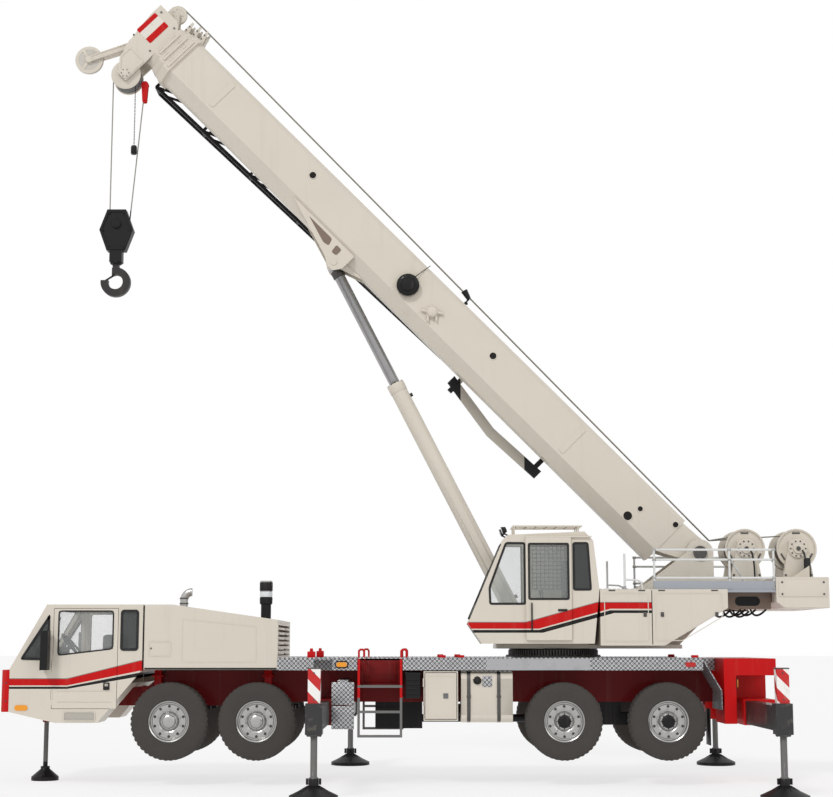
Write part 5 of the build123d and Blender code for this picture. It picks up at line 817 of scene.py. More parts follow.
cleaner = Piece("air_cleaner", "carrier", black)
CLEANER = Vector((-2.32, -0.62, 0))
CLEANER_PROFILE = (
    (0.0, 2.44), (0.078, 2.44), (0.078, 2.69), (0.098, 2.715), (0.100, 2.80), (0.092, 2.81), (0.092, 2.90),
    (0.101, 2.91), (0.101, 3.03), (0.085, 3.056), (0.0, 3.059))
cleaner.turned(CLEANER_PROFILE, CLEANER, UP, 32)
cleaner.done()
bowl = Piece("air_cleaner_bowl", "carrier", clear_lens)
bowl.turned(((0.094, 2.812), (0.0965, 2.83), (0.0965, 2.88), (0.094, 2.898)), CLEANER, UP, 32)
bowl.done()
STACK_AT = (-3.585, -0.62)
stack = Piece("stack_clamps", "carrier", dark_steel)
for z in (2.70, 2.78):
    stack.turned(band(0.060, 0.068, 0, 0.022), (*STACK_AT, z), UP, 28)
stack.done()

posts = Piece("hood_posts", "carrier", red)
for sign in SIDES.values():
    for x in (-4.02, -2.33):
        posts.slab((x, sign * 0.462, 1.23), (x + 0.105, sign * 0.60, 1.70), 0.008)
        posts.slab((x - 0.03, sign * 0.462, 1.60), (x + 0.135, sign * 0.66, 1.625), 0.004)
posts.done()

# Seats of both cabs, dashboard and steering wheel
ROLL = 0.16  # how far a pad's edges roll in, as a share of its half size
CHANNEL_DEPTH = 0.010
CHANNEL_AT = 0.45
CHANNEL_WIDTH = 0.08
PAD_SMOOTH_BELOW = 60


def seat_pad(name, body, low, high, face, outward):
    """A padded block with crowned faces and rolled edges; two sewn channels run over its sitting face."""
    pad = Piece(name, body, seat_vinyl)
    low, high = Vector(low), Vector(high)
    middle, half = (low + high) / 2, (high - low) / 2
    bmesh.ops.create_cube(pad.mesh, size=1, matrix=Matrix.LocRotScale(middle, None, half * 2))
    bmesh.ops.subdivide_edges(pad.mesh, edges=pad.mesh.edges[:], cuts=7, use_grid_fill=True)
    for vert in pad.mesh.verts:
        place = [(vert.co[i] - middle[i]) / half[i] for i in range(3)]
        for i in range(3):
            others = [place[k] for k in range(3) if k != i]
            crown = (1 - others[0] ** 4) * (1 - others[1] ** 4)
            vert.co[i] -= place[i] * half[i] * ROLL * (1 - crown) * abs(place[i]) ** 3
        if place[face] * outward > 0.9:
            channel = max(0, 1 - abs(abs(place[1]) - CHANNEL_AT) / CHANNEL_WIDTH)
            vert.co[face] -= outward * CHANNEL_DEPTH * channel
    made = pad.done(PAD_SMOOTH_BELOW)
    smooth = made.modifiers.new("filled", "SUBSURF")
    smooth.levels = smooth.render_levels = 1


def seat(name, body, front, rear, y, low, cushion, top):
    """A sprung seat: base, padded cushion and padded back."""
    base = Piece(name + "_base", body, cab_trim)
    base.slab((front + 0.08, y - 0.17, low), (rear - 0.06, y + 0.17, cushion - 0.14), 0.02)
    base.slab((front + 0.04, y - 0.205, cushion - 0.15), (rear - 0.02, y + 0.205, cushion - 0.11), 0.012)
    base.done()
    cushion_box = (front, y - 0.235, cushion - 0.12), (rear - 0.05, y + 0.235, cushion)
    back_box = (rear - 0.15, y - 0.225, cushion - 0.02), (rear, y + 0.225, top)
    seat_pad(name + "_cushion", body, *cushion_box, face=2, outward=1)
    seat_pad(name + "_back", body, *back_box, face=0, outward=-1)


for name, y in (("driver_seat", -0.56), ("mate_seat", 0.56)):
    seat(name, "carrier", -5.20, -4.66, y, 1.50, 1.86, 2.24)
fittings = Piece("cab_dashboard", "carrier", cab_trim, "cab_interior")
fittings.slab((-5.95, -1.19, 1.50), (-5.66, 1.19, 1.80), 0.03)
fittings.slab((-5.86, -1.15, 1.78), (-5.64, 1.15, 1.93), 0.05)
fittings.slab((-5.80, -0.90, 1.90), (-5.40, -0.22, 2.05), 0.05)
wheel_mid = Vector((-5.31, -0.56, 2.08))
column = Vector((0.74, 0, 0.67)).normalized()
grip = []
for step in range(11):
    angle = math.pi * step / 5
    grip.append((0.212 + 0.018 * math.cos(angle), 0.018 * math.sin(angle)))
fittings.turned(grip, wheel_mid, column, 40)
fittings.bar(wheel_mid - column * 0.34, wheel_mid, 0.035, 16)
fittings.bar(wheel_mid - column * 0.02, wheel_mid + column * 0.02, 0.06, 20)
for turn in (0, 120, 240):
    spoke = Matrix.Rotation(math.radians(turn), 3, column) @ ACROSS
    fittings.bar(wheel_mid, wheel_mid + spoke * 0.205, 0.013, 8)
fittings.bar((-5.15, -0.12, 1.50), (-5.22, -0.12, 1.98), 0.012, 10)
fittings.done()

# Operator's cab: rubbers, wiper, door pane and trim, work lamps, roof guard, wire guard, seat and console
OP_FACE = -1.205
OP_SIDE = ((1.11, 2.70), (1.64, 2.70), (1.64, 3.60), (1.345, 3.60), (1.11, 2.96))
OP_REAR = ((2.37, 2.915), (2.64, 2.915), (2.60, 3.60), (2.37, 3.60))
OP_DOOR_LIGHT = rectangle(1.69, 2.30, 2.76, 3.60)
op_rubber = Piece("operator_cab_rubbers", "superstructure", black_rubber)
for window in (OP_SIDE, OP_REAR):
    op_rubber.ring(at_side(spread(window, 0.026), OP_FACE + 0.003), (0, -0.006, 0), 0.04, 0.034)
    op_rubber.ring(at_side(spread(window, 0.026), -0.453), (0, 0.011, 0), 0.04, 0.034)
op_low, op_high = Vector((0.775, 0, 2.40)), Vector((1.32, 0, 3.675))
op_lean = (op_high - op_low).normalized()
op_out = Vector((-op_lean.z, 0, op_lean.x))
glass_low, glass_high = op_low + op_lean * 0.075, op_high - op_lean * 0.075
GLASS_LEFT, GLASS_RIGHT = ACROSS * -1.13, ACROSS * -0.525
glass_line = [
    glass_low + GLASS_LEFT, glass_low + GLASS_RIGHT, glass_high + GLASS_RIGHT, glass_high + GLASS_LEFT]
op_rubber.ring([spot + op_out * 0.003 for spot in glass_line], op_out * 0.010, 0.05, 0.03)
wiper = glass_low + ACROSS * -0.83 + op_out * 0.02
op_rubber.bar(wiper, wiper + op_lean * 0.55 + ACROSS * -0.16, 0.007, 8)
op_rubber.bar(wiper + op_lean * 0.26 + ACROSS * -0.20, wiper + op_lean * 0.80 + ACROSS * -0.12, 0.009, 8)
op_rubber.done()

door_pane = Piece("operator_door_pane", "operator_door", upper_glass)
door_pane.sheet_metal(at_side(spread(OP_DOOR_LIGHT, 0.010), -1.228), (0, -0.006, 0), 0.03)
door_pane.done()
door_trim = Piece("operator_door_trim", "operator_door", black_rubber)
door_trim.ring(at_side(spread(OP_DOOR_LIGHT, 0.012), -1.243), (0, -0.012, 0), 0.035, 0.030)
door_trim.slab((2.13, -1.262, 2.58), (2.27, -1.246, 2.615), 0.005)
door_trim.bar((1.735, -1.268, 2.30), (1.735, -1.268, 2.70), 0.011, 10)
for z in (2.30, 2.70):
    door_trim.bar((1.735, -1.248, z), (1.735, -1.268, z), 0.011, 10)
door_trim.done()
cab_lights = Piece("operator_cab_lamps", "superstructure", clear_lens)
cab_light_shells = Piece("operator_cab_lamp_shells", "superstructure", black)
for y in (-1.10, -0.56):
    spot = Vector((1.30, y, 3.80))
    aim = Vector((-0.94, 0, -0.34)).normalized()
    cab_light_shells.turned(
        ((0.0, -0.075), (0.040, -0.070), (0.056, -0.02), (0.060, 0.0), (0.052, 0.0)), spot, aim, 24)
    cab_lights.turned(((0.054, -0.006), (0.04, 0.006), (0.0, 0.012)), spot, aim, 24)
    cab_light_shells.bar(spot + Vector((0.03, 0, -0.04)), (1.39, y, 3.73), 0.012, 10)
finish_all(cab_lights, cab_light_shells)
guard_bars = Piece("operator_cab_roof_guard", "superstructure", grey_paint)
for step in range(7):
    x = 1.52 + step * 0.155
    guard_bars.bar((x, -1.115, 3.87), (x, -0.54, 3.87), 0.009, 8)
guard_bars.done()

screen = Piece("operator_cab_guard_screen", "superstructure", black)
SCREEN_FRONT, SCREEN_REAR, SCREEN_LOW, SCREEN_HIGH = 1.80, 2.31, 2.94, 3.60
SCREEN_Y, SCREEN_STEP, WIRE = -0.505, 0.06, 0.005
for step in range(9):
    x = SCREEN_FRONT + (SCREEN_REAR - SCREEN_FRONT) * step / 8
    screen.bar((x, SCREEN_Y, SCREEN_LOW), (x, SCREEN_Y, SCREEN_HIGH), WIRE, 6)
for step in range(12):
    z = SCREEN_LOW + SCREEN_STEP * step
    screen.bar((SCREEN_FRONT, SCREEN_Y, z), (SCREEN_REAR, SCREEN_Y, z), WIRE, 6)
screen.done()

seat("operator_seat_made", "superstructure", 1.88, 2.38, -0.8275, 2.145, 2.625, 3.345)
op_console = Piece("operator_console", "superstructure", cab_trim, "operator_seat")
op_console.slab((1.18, -1.065, 2.145), (1.34, -0.59, 2.60), 0.03)
op_console.slab((1.16, -1.065, 2.56), (1.36, -0.59, 2.66), 0.03)
for y in (-1.04, -0.615):
    op_console.slab((1.86, y - 0.035, 2.50), (2.20, y + 0.035, 2.70), 0.02)
    op_console.bar((1.93, y, 2.68), (1.91, y, 2.86), 0.010, 8)
    op_console.bar((1.91, y, 2.85), (1.90, y, 2.91), 0.020, 12, 0.016)
op_console.done()

# Deck: edge bolts and trim, side lamps, red fittings, tail lamps and mud flaps
deck_bolts = Piece("deck_bolts", "carrier", polished)
deck_trim = Piece("deck_edge_trim", "carrier", plate)
deck_lamps = Piece("deck_marker_lamps", "carrier", amber)
rear_reds = Piece("rear_side_lamps", "carrier", red_lens)
lamp_shells = Piece("deck_lamp_shells", "carrier", black)
deck_reds = Piece("deck_red_fittings", "carrier", red)
LAMP_SEAT = 1.259
for sign in SIDES.values():
    for step in range(20):
        deck_bolts.bolt((1.20 + step * 0.158, sign * 1.261, 1.79), (0, sign, 0), 0.010, 0.006)
    deck_trim.slab((-2.08, sign * 1.235, 1.876), (4.285, sign * 1.265, 1.892), 0.004)
    y = sign * LAMP_SEAT
    deck_lamps.sheet_metal(side_box(-1.20, -1.04, 1.755, 1.825, y), (0, sign * 0.018, 0), 0.034)
    rear_reds.sheet_metal(side_box(4.02, 4.18, 1.755, 1.825, y), (0, sign * 0.018, 0), 0.034)
    lamp_shells.ring(side_box(-1.225, -1.015, 1.735, 1.845, y), (0, sign * 0.010, 0), 0.05, 0.016)
    deck_reds.slab((-1.64, sign * 1.10, 1.885), (-1.52, sign * 1.22, 1.985), 0.012)
    deck_reds.bar((-1.58, sign * 1.16, 1.97), (-1.58, sign * 1.16, 2.03), 0.030, 16, 0.022)
    for x in (0.34, 0.62, 4.13):
        deck_reds.slab((x, sign * 1.13, 1.885), (x + 0.10, sign * 1.23, 1.93), 0.010)
finish_all(deck_bolts, deck_trim, deck_lamps, rear_reds, lamp_shells, deck_reds)
tail_lamps = Piece("tail_lamps", "carrier", red_lens)
tail_amber = Piece("tail_signal_lamps", "carrier", amber)
tail_plates = Piece("tail_lamp_plates", "carrier", black)
for sign in SIDES.values():
    tail_plates.slab((4.778, sign * 0.74, 1.42), (4.80, sign * 1.22, 1.60), 0.008)
    tail_lamps.slab((4.798, sign * 0.77, 1.45), (4.822, sign * 0.98, 1.57), 0.010)
    tail_amber.slab((4.798, sign * 1.00, 1.45), (4.822, sign * 1.19, 1.57), 0.010)
    tail_plates.slab((4.37, sign * 0.90, 0.60), (4.385, sign * 1.25, 1.14), 0.004)
finish_all(tail_lamps, tail_amber, tail_plates)

# Side equipment: tank straps, step and cap, toolbox borders and latch, battery ribs, checker panel, hoops
STRAP_TOP = (0, -1.10, 1.694), (0, -1.254, 1.694), (0, -1.254, 1.54)
STRAP_BOTTOM = (0, -1.254, 1.09), (0, -1.254, 0.931), (0, -1.10, 0.931)
strap_path = arc(*STRAP_TOP, 6) + arc(*STRAP_BOTTOM, 6)
tank_straps = Piece("tank_straps", "carrier", dark_steel)
for x in (0.754, 1.204):
    outer = [spot + Vector((x, -0.008, 0)) for spot in strap_path]
    tank_straps.sheet_metal(outer + [Vector((x, -1.05, 0.955)), Vector((x, -1.05, 1.67))], (0.052, 0, 0))
    tank_straps.slab((x - 0.006, -1.270, 1.30), (x + 0.058, -1.255, 1.34), 0.004)
    tank_straps.bolt((x + 0.026, -1.268, 1.32), LEFT, 0.013, 0.010)
tank_straps.done()
tank_step = Piece("tank_step_plate", "carrier", plate)
tank_step.slab((0.665, -1.16, 1.688), (1.44, -0.62, 1.70), 0.003)
tank_step.slab((0.985, -1.256, 1.46), (1.13, -1.240, 1.62), 0.004)
tank_step.done()
tank_cap = Piece("tank_cap", "carrier", black)
CAP_AT, CAP_AXIS = (0.91, -1.225, 1.55), (0, -0.86, 0.5)
tank_cap.turned(
    ((0.0, 0.0), (0.062, 0.0), (0.062, 0.030), (0.052, 0.036), (0.050, 0.048), (0.0, 0.050)),
    CAP_AT, CAP_AXIS, 28)
tank_cap.ring_of(12, CAP_AT, CAP_AXIS, lambda p: p.bar(
    (0.972, -1.228, 1.552), (0.972, -1.253, 1.566), 0.006, 6))
tank_cap.done()

box_trim = Piece("toolbox_door_border", "toolbox_door", beige)
BOX_FACE = 1.256
BOX_BORDER = rectangle(0.135, 0.592, 1.00, 1.65)
box_trim.ring(at_side(BOX_BORDER, -BOX_FACE), (0, -0.009, 0), 0.03, 0.030)
box_trim.done()
box_seal = Piece("toolbox_door_seal", "toolbox_door", black_rubber)
box_seal.ring(side_box(0.120, 0.607, 0.975, 1.676, -1.2565), (0, -0.003, 0), 0.02, 0.009)
box_seal.done()
box_latch = Piece("toolbox_latch", "toolbox_door", grey_paint)
box_latch.ring(side_box(0.40, 0.475, 1.29, 1.365, -BOX_FACE), (0, -0.010, 0), 0.008, 0.012)
box_latch.sheet_metal(side_box(0.41, 0.465, 1.30, 1.355, -BOX_FACE), (0, -0.004, 0), 0.006)
box_latch.bar((0.437, -1.257, 1.327), (0.437, -1.268, 1.327), 0.012, 12)
box_latch.done()
right_box = Piece("right_box_border", "carrier", beige)
right_box.ring(at_side(BOX_BORDER, BOX_FACE), (0, 0.009, 0), 0.03, 0.030)
right_box.slab((0.40, 1.255, 1.30), (0.475, 1.268, 1.36), 0.005)
right_box.done()
battery = Piece("battery_box_ribs", "carrier", black)
for row in range(4):
    battery.slab((-0.155, -1.268, 1.345 + row * 0.07), (0.05, -1.254, 1.378 + row * 0.07), 0.006)
battery.slab((-0.168, -1.264, 1.636), (0.063, -0.70, 1.672), 0.010)
battery.done()
panel = Piece("checker_side_panel", "carrier", plate)
for low, high in ((0.84, 1.18), (1.195, 1.53)):
    panel.slab((-1.268, -1.276, low), (-0.932, -1.256, high), 0.006)
panel.slab((-1.18, -1.262, 1.50), (-1.02, -0.46, 1.56), 0.004)
panel.done()
hoops = Piece("ladder_hoops", "carrier", red)
# the back panels take the frame's darker red, which is painted shade
ladder_back = Piece("ladder_back_panels", "carrier", shaded_red_frame)
HOOP_Y = 1.222
for sign in SIDES.values():
    y = sign * HOOP_Y
    for x in (-0.864, -0.231):
        hoops.run([
            (x, y, 1.86), (x, y, 1.985), (x + 0.02, y, 2.012), (x + 0.06, y, 2.012), (x + 0.08, y, 1.985),
            (x + 0.08, y, 1.90), (x + 0.08, sign * 1.00, 1.87)], 0.0155, 12)
    ladder_back.slab((-0.882, sign * 0.93, 1.44), (-0.213, sign * 0.962, 1.88), 0.006)
    ladder_back.slab((-0.80, sign * 0.95, 1.52), (-0.30, sign * 0.972, 1.82), 0.010)
finish_all(hoops, ladder_back)

# Outriggers: ribs and rims of the floats, glands of the jacks
JACK_Y = 3.35
RIB_LINE = ((0.065, 0.040), (0.30, 0.040), (0.30, 0.062), (0.085, 0.190), (0.065, 0.190))
FRONT_RIB_LINE = ((0.05, 0.03), (0.19, 0.03), (0.19, 0.045), (0.06, 0.12), (0.05, 0.12))
FLOAT_RIM = ((0.318, 0.004), (0.335, 0.006), (0.335, 0.046), (0.318, 0.048), (0.318, 0.004))
GLAND_PROFILE = (
    (0.050, 0.845), (0.100, 0.845), (0.106, 0.852), (0.106, 0.872), (0.050, 0.872), (0.050, 0.845))


def float_ribs(piece, count, x, y, line, thickness):
    """Upright ribs round a jack's float."""
    rib = at_side([(x + out, up) for out, up in line], y - thickness / 2)
    piece.ring_of(count, (x, y, 0), UP, lambda p: p.sheet_metal(rib, (0, thickness, 0)))


for end, left_x in (("front", -1.40), ("rear", 5.01)):
    for side, sign in SIDES.items():
        x = left_x if side == "left" else left_x + 0.24
        y = sign * JACK_Y
        node = "outrigger_jack_%s_%s" % (end, side)
        ribs = Piece(node + "_ribs", node, black)
        float_ribs(ribs, 10, x, y, RIB_LINE, 0.016)
        ribs.turned(FLOAT_RIM, (x, y, 0), UP, 48)
        for turn in (1, -1):
            ribs.slab((x + turn * 0.072, y - 0.012, 0.20), (x + turn * 0.105, y + 0.012, 0.285), 0.004)
        ribs.done()
        beam = "outrigger_beam_%s_%s" % (end, side)
        gland = Piece(beam + "_gland", beam, dark_steel)
        gland.turned(GLAND_PROFILE, (x, y, 0), UP, 32)
        gland.ring_of(6, (x, y, 0), UP, lambda p: p.bolt((x + 0.086, y, 0.846), -UP, 0.009, 0.008))
        gland.slab((x - 0.092, y - 0.092, 1.755), (x + 0.092, y + 0.092, 1.772), 0.004)
        for z in (1.34, 1.70):
            gland.bolt((x, y + sign * 0.086, z), (0, sign, 0), 0.012, 0.008)
        gland.done()
front_ribs = Piece("front_jack_ribs", "front_jack", black)
float_ribs(front_ribs, 8, -5.78, 0, FRONT_RIB_LINE, 0.012)
front_ribs.done()

# Slew ring: teeth, plate and bolts
SLEW_AT = (2.147, 0, 0)
teeth = Piece("slew_ring_teeth", "carrier", dark_steel)
teeth.ring_of(96, SLEW_AT, UP, lambda p: p.slab((2.825, -0.011, 1.925), (2.850, 0.011, 2.005), 0))
teeth.turned(band(0.66, 0.745, 1.900, 1.918), SLEW_AT, UP, 64)
teeth.ring_of(32, SLEW_AT, UP, lambda p: p.bolt((2.875, 0, 1.916), UP, 0.012, 0.014))
teeth.done()

# Side covers, tail panels and openings in painted shade, counterweight
cover_trim = Piece("cover_seams", "superstructure", black_rubber)
cover_latches = Piece("cover_latches", "superstructure", dark_steel)
cover_panels = Piece("cover_panels", "superstructure", beige)
COVER_FACE = 1.198
REAR_COVER = ((3.60, 2.14), (4.00, 2.14), (4.62, 2.50), (4.62, 2.86), (3.60, 2.86))
for sign in SIDES.values():
    y = sign * COVER_FACE
    cover_trim.slab((3.545, y, 2.09), (3.557, sign * 1.204, 2.90), 0.002)
    cover_panels.ring(side_box(2.83, 3.50, 2.13, 2.86, y), (0, sign * 0.008, 0), 0.03, 0.012)
    cover_panels.ring(at_side(REAR_COVER, y), (0, sign * 0.008, 0), 0.03, 0.012)
    for x in (3.42, 3.68, 4.50):
        cover_latches.slab((x, sign * 1.196, 2.50), (x + 0.05, sign * 1.212, 2.57), 0.005)
        cover_latches.bar((x + 0.025, sign * 1.20, 2.535), (x + 0.025, sign * 1.218, 2.535), 0.012, 12)
    for x in (2.95, 3.40, 3.70, 4.50):
        cover_latches.bar((x - 0.05, sign * 1.196, 2.895), (x + 0.05, sign * 1.196, 2.895), 0.012, 10)
finish_all(cover_trim, cover_latches, cover_panels)

# the tail panels are drawn brown as painted shade
tail_panel_shade = Piece("tail_panels_in_painted_shade", "superstructure", painted_shade_brown)
# black sheets fill the tail openings as painted shade; the hoses are plain black
tail_opening_shade_and_hoses = Piece("tail_openings_shade_and_hoses", "superstructure", black)
weight_trim = Piece("counterweight_plates", "superstructure", beige)
weight_bolts = Piece("counterweight_bolts", "superstructure", dark_steel)
for sign in SIDES.values():
    tail_panel_shade.slab((4.73, sign * 0.86, 2.62), (5.41, sign * 0.90, 2.875), 0.010)
    tail_opening_shade_and_hoses.ring(side_box(4.86, 5.24, 2.67, 2.81, sign * 0.898), (0, sign * 0.012, 0), 0.068, 0.020)
    tail_opening_shade_and_hoses.sheet_metal(side_box(4.87, 5.23, 2.68, 2.80, sign * 0.899), (0, sign * 0.003, 0), 0.058)
    for step in range(3):
        x = 4.80 + step * 0.16
        hose = arc((x, sign * 0.70, 2.66), (x + 0.05, sign * 0.72, 2.42), (x + 0.26, sign * 0.66, 2.62))
        tail_opening_shade_and_hoses.run(hose, 0.016, 8)
    weight_trim.slab((5.47, sign * 1.196, 2.80), (6.20, sign * 1.212, 3.06), 0.010)
    stay = at_side(((5.78, 3.09), (6.10, 3.09), (6.10, 3.30)), sign * 0.50)
    weight_trim.sheet_metal(stay, (0, sign * 0.03, 0))
    for x in (5.52, 6.15):
        for z in (2.84, 3.02):
            weight_bolts.bolt((x, sign * 1.21, z), (0, sign, 0), 0.016, 0.012)
weight_trim.slab((6.228, -1.10, 2.70), (6.244, 1.10, 3.03), 0.010)
for y in (-0.8, 0.0, 0.8):
    weight_bolts.bolt((6.24, y, 2.86), -FORWARD, 0.030, 0.016)
finish_all(tail_panel_shade, tail_opening_shade_and_hoses, weight_trim, weight_bolts)

# Handrails: grab posts, braces, clamps at the posts, toe boards and walkway
rails = Piece("rail_grab_posts", "superstructure", rail_paint)
rail_clamps = Piece("rail_clamps", "superstructure", polished)
RAIL_Y = 1.166
RAIL_POSTS = (3.60, 4.74, 5.41)
GRAB_POST = 3.15
WALK_TOP = 2.91
POST_FOOT = ((0.017, 0.0), (0.036, 0.0), (0.036, 0.012), (0.022, 0.018), (0.022, 0.05), (0.017, 0.05))
for sign in SIDES.values():
    y = sign * RAIL_Y
    rails.bar((GRAB_POST, y, WALK_TOP), (GRAB_POST, y, 3.45), 0.017, 14)
    rails.run([(GRAB_POST, y, 3.06), (3.34, y, 3.05), (3.40, y, 3.02), (3.42, y, WALK_TOP)], 0.014, 12)
    rails.run([(RAIL_POSTS[1], y, 3.40), (4.95, sign * 1.00, 3.10), (5.06, sign * 0.92, WALK_TOP)], 0.014, 12)
    for x in (GRAB_POST, *RAIL_POSTS):
        rail_clamps.turned(POST_FOOT, (x, y, WALK_TOP + 0.004), UP, 20)
    for x in RAIL_POSTS:
        for z in (3.51, 3.36, 3.085):
            rail_clamps.bar((x - 0.028, y, z), (x + 0.028, y, z), 0.0215, 14)
finish_all(rails, rail_clamps)
toes = Piece("toe_boards", "superstructure", toe_paint)
for sign in SIDES.values():
    for y in (1.180, 1.144):
        low = RAIL_POSTS[0], sign * y, WALK_TOP + 0.006
        toes.slab(low, (RAIL_POSTS[-1], sign * (y + 0.008), 3.038), 0.003)
toes.done()
walk = Piece("walkway_plates", "superstructure", plate)
for sign in SIDES.values():
    walk.slab((2.78, sign * 0.40, WALK_TOP + 0.003), (4.70, sign * 1.14, WALK_TOP + 0.012), 0.002)
walk.done()

# Winches: flange rings, hubs, bolts, slots, rope on the drums, motor and hoses
WINCHES = ((5.15, 3.57), (5.96, 3.57))
DRUM_HALF = 0.278
DRUM_TURNS = 26
DRUM_PITCH = DRUM_HALF * 2 / DRUM_TURNS
FLANGE_RIM = (
    (0.285, 0.296), (0.313, 0.296), (0.316, 0.302), (0.316, 0.318), (0.308, 0.324), (0.288, 0.318),
    (0.285, 0.296))
FLANGE_HUB = (
    (0.0, 0.388), (0.150, 0.388), (0.150, 0.412), (0.140, 0.420), (0.085, 0.420), (0.080, 0.432),
    (0.075, 0.444), (0.0, 0.446))
flanges = Piece("winch_flanges", "superstructure", beige)
winch_dark = Piece("winch_fittings", "superstructure", dark_steel)
drum_rope = Piece("winch_drum_rope", "superstructure", rope_steel)
for x, z in WINCHES:
    for sign in SIDES.values():
        centre = (x, 0, z)
        out = (0, sign, 0)
        flanges.turned(FLANGE_RIM, centre, out, 56)
        flanges.turned(FLANGE_HUB, centre, out, 48)
        winch_dark.ring_of(10, centre, ACROSS, lambda p: p.bolt(
            (x + 0.118, sign * 0.416, z), out, 0.013, 0.014))
        winch_dark.turned(
            ((0.0, 0.440), (0.034, 0.440), (0.034, 0.458), (0.028, 0.464), (0.0, 0.464)), centre, out, 24)
        winch_dark.ring_of(3, centre, ACROSS, lambda p: p.slab(
            (x - 0.06, sign * 0.300, z + 0.235), (x + 0.06, sign * 0.306, z + 0.262), 0))
        for turn in (-1, 1):
            winch_dark.bolt((x + turn * 0.20, sign * 0.388, 3.16), out, 0.018, 0.016)
    coil = []
    for turn in range(DRUM_TURNS):
        low = -DRUM_HALF + turn * DRUM_PITCH
        for radius, share in ((0.214, 0), (0.226, 0.2), (0.2315, 0.5), (0.226, 0.8)):
            coil.append((radius, low + DRUM_PITCH * share))
    drum_rope.turned(coil + [(0.214, DRUM_HALF)], (x, 0, z), ACROSS, 40)
finish_all(flanges, winch_dark, drum_rope)
winch_hose = Piece("winch_hoses", "superstructure", black_rubber)
winch_hose.turned(
    ((0.0, 2.99), (0.046, 2.99), (0.052, 3.0), (0.052, 3.40), (0.040, 3.42), (0.0, 3.42)),
    (6.08, -0.475, 0), UP, 24)
for x, z in WINCHES:
    hose = arc((x + 0.06, -0.44, z - 0.03), (x + 0.10, -0.52, z - 0.10), (x + 0.11, -0.475, 3.10))
    winch_hose.run(hose, 0.013, 8)
winch_hose.done()

# Lift cylinder: gland, base ring, bolts, ports and collar of the eye
LIFT_FOOT = Vector((1.60, 0, 2.45))
LIFT_EYE = boom_spot(7.40, -0.80)
STROKE = (LIFT_EYE - LIFT_FOOT).normalized()
STROKE_UP = Vector((-STROKE.z, 0, STROKE.x))
gland = Piece("lift_gland", "lift_barrel", beige)
gland.turned(
    ((0.136, 4.10), (0.142, 4.11), (0.143, 4.23), (0.137, 4.252), (0.092, 4.256)), LIFT_FOOT, STROKE, 44)
gland.turned(((0.136, 0.16), (0.150, 0.17), (0.150, 0.24), (0.136, 0.25)), LIFT_FOOT, STROKE, 44)
gland.done()
ports = Piece("lift_ports", "lift_barrel", black)
gland_bolt = LIFT_FOOT + STROKE * 4.248 + STROKE_UP * 0.128
ports.ring_of(12, LIFT_FOOT, STROKE, lambda p: p.bolt(gland_bolt, STROKE, 0.012, 0.014))
for along in (0.36, 3.98):
    spot = LIFT_FOOT + STROKE * along - STROKE_UP * 0.13
    ports.bar(spot, spot - STROKE_UP * 0.045, 0.030, 14)
ports.done()
eye_cap = Piece("lift_eye_cap", "lift_rod", dark_steel)
eye_cap.turned(((0.0885, -0.24), (0.104, -0.23), (0.104, -0.12), (0.0885, -0.11)), LIFT_EYE, STROKE, 36)
eye_cap.done()

# Boom base: recesses filled with painted shade, cable reel, lamp, lift bracket pins, gussets and their
# openings in painted shade, horn
BOOM_FACE = 0.31
BOOM_TOP = 0.22
RECESSES = (
    (-1.68, 9.61, 0.055), (1.22, 6.64, 0.055), (3.32, 4.09, 0.070), (3.52, 4.20, 0.040), (4.07, 3.95, 0.045))
# dark discs fill the recesses as painted shade; their rims are beige
recess = Piece("boom_recess_painted_shade", "boom_base", recess_painted_shade)
recess_rims = Piece("boom_recess_rims", "boom_base", beige)
for sign in SIDES.values():
    for x, z, size in RECESSES:
        spot = (x, sign * (BOOM_FACE - 0.002), z)
        recess.turned(((0.0, 0.0), (size, 0.0), (size, 0.005), (0.0, 0.006)), spot, (0, sign, 0), 24)
        rim = (size, 0.0), (size + 0.016, 0.0), (size + 0.012, 0.010), (size, 0.010), (size, 0.0)
        recess_rims.turned(rim, spot, (0, sign, 0), 24)
finish_all(recess, recess_rims)

boom_black = Piece("boom_fittings", "boom_base", black)
reel = boom_spot(6.25, -0.23)
for height in (0.332, 0.386):
    cheek = (0.178, height), (0.182, height + 0.004), (0.182, height + 0.010)
    boom_black.turned(((0.0, height), *cheek, (0.0, height + 0.012)), reel, LEFT, 40)
boom_black.turned(
    ((0.172, 0.396), (0.150, 0.412), (0.112, 0.416), (0.100, 0.434), (0.060, 0.440), (0.0, 0.442)),
    reel, LEFT, 36)
boom_black.ring_of(8, reel, ACROSS, lambda p: p.bolt(reel + Vector((0.13, -0.412, 0)), LEFT, 0.009, 0.010))
lamp = boom_spot(5.42, 0.23, -0.20)
boom_black.bar(lamp, lamp + RISE * 0.10, 0.014, 10)
boom_black.bar(lamp + RISE * 0.10, lamp + RISE * 0.14 + ALONG * 0.15, 0.035, 16, 0.055)
boom_black.slab(lamp - Vector((0.05, 0.03, 0.02)), lamp + Vector((0.05, 0.03, 0.01)), 0.004)
boom_black.done()
reel_rope = Piece("reel_cable", "boom_base", black_rubber)
coil = []
for turn in range(5):
    low = 0.334 + turn * 0.010
    coil += [(0.120, low), (0.160, low + 0.002), (0.163, low + 0.005), (0.160, low + 0.008)]
reel_rope.turned(coil + [(0.120, 0.386)], reel, LEFT, 36)
reel_rope.bar(reel + ALONG * 0.02 + RISE * 0.16 + ACROSS * -0.36, boom_spot(6.23, 0.26, -0.30), 0.006, 8)
reel_rope.done()
clips = Piece("lift_bracket_pins", "boom_base", dark_steel)
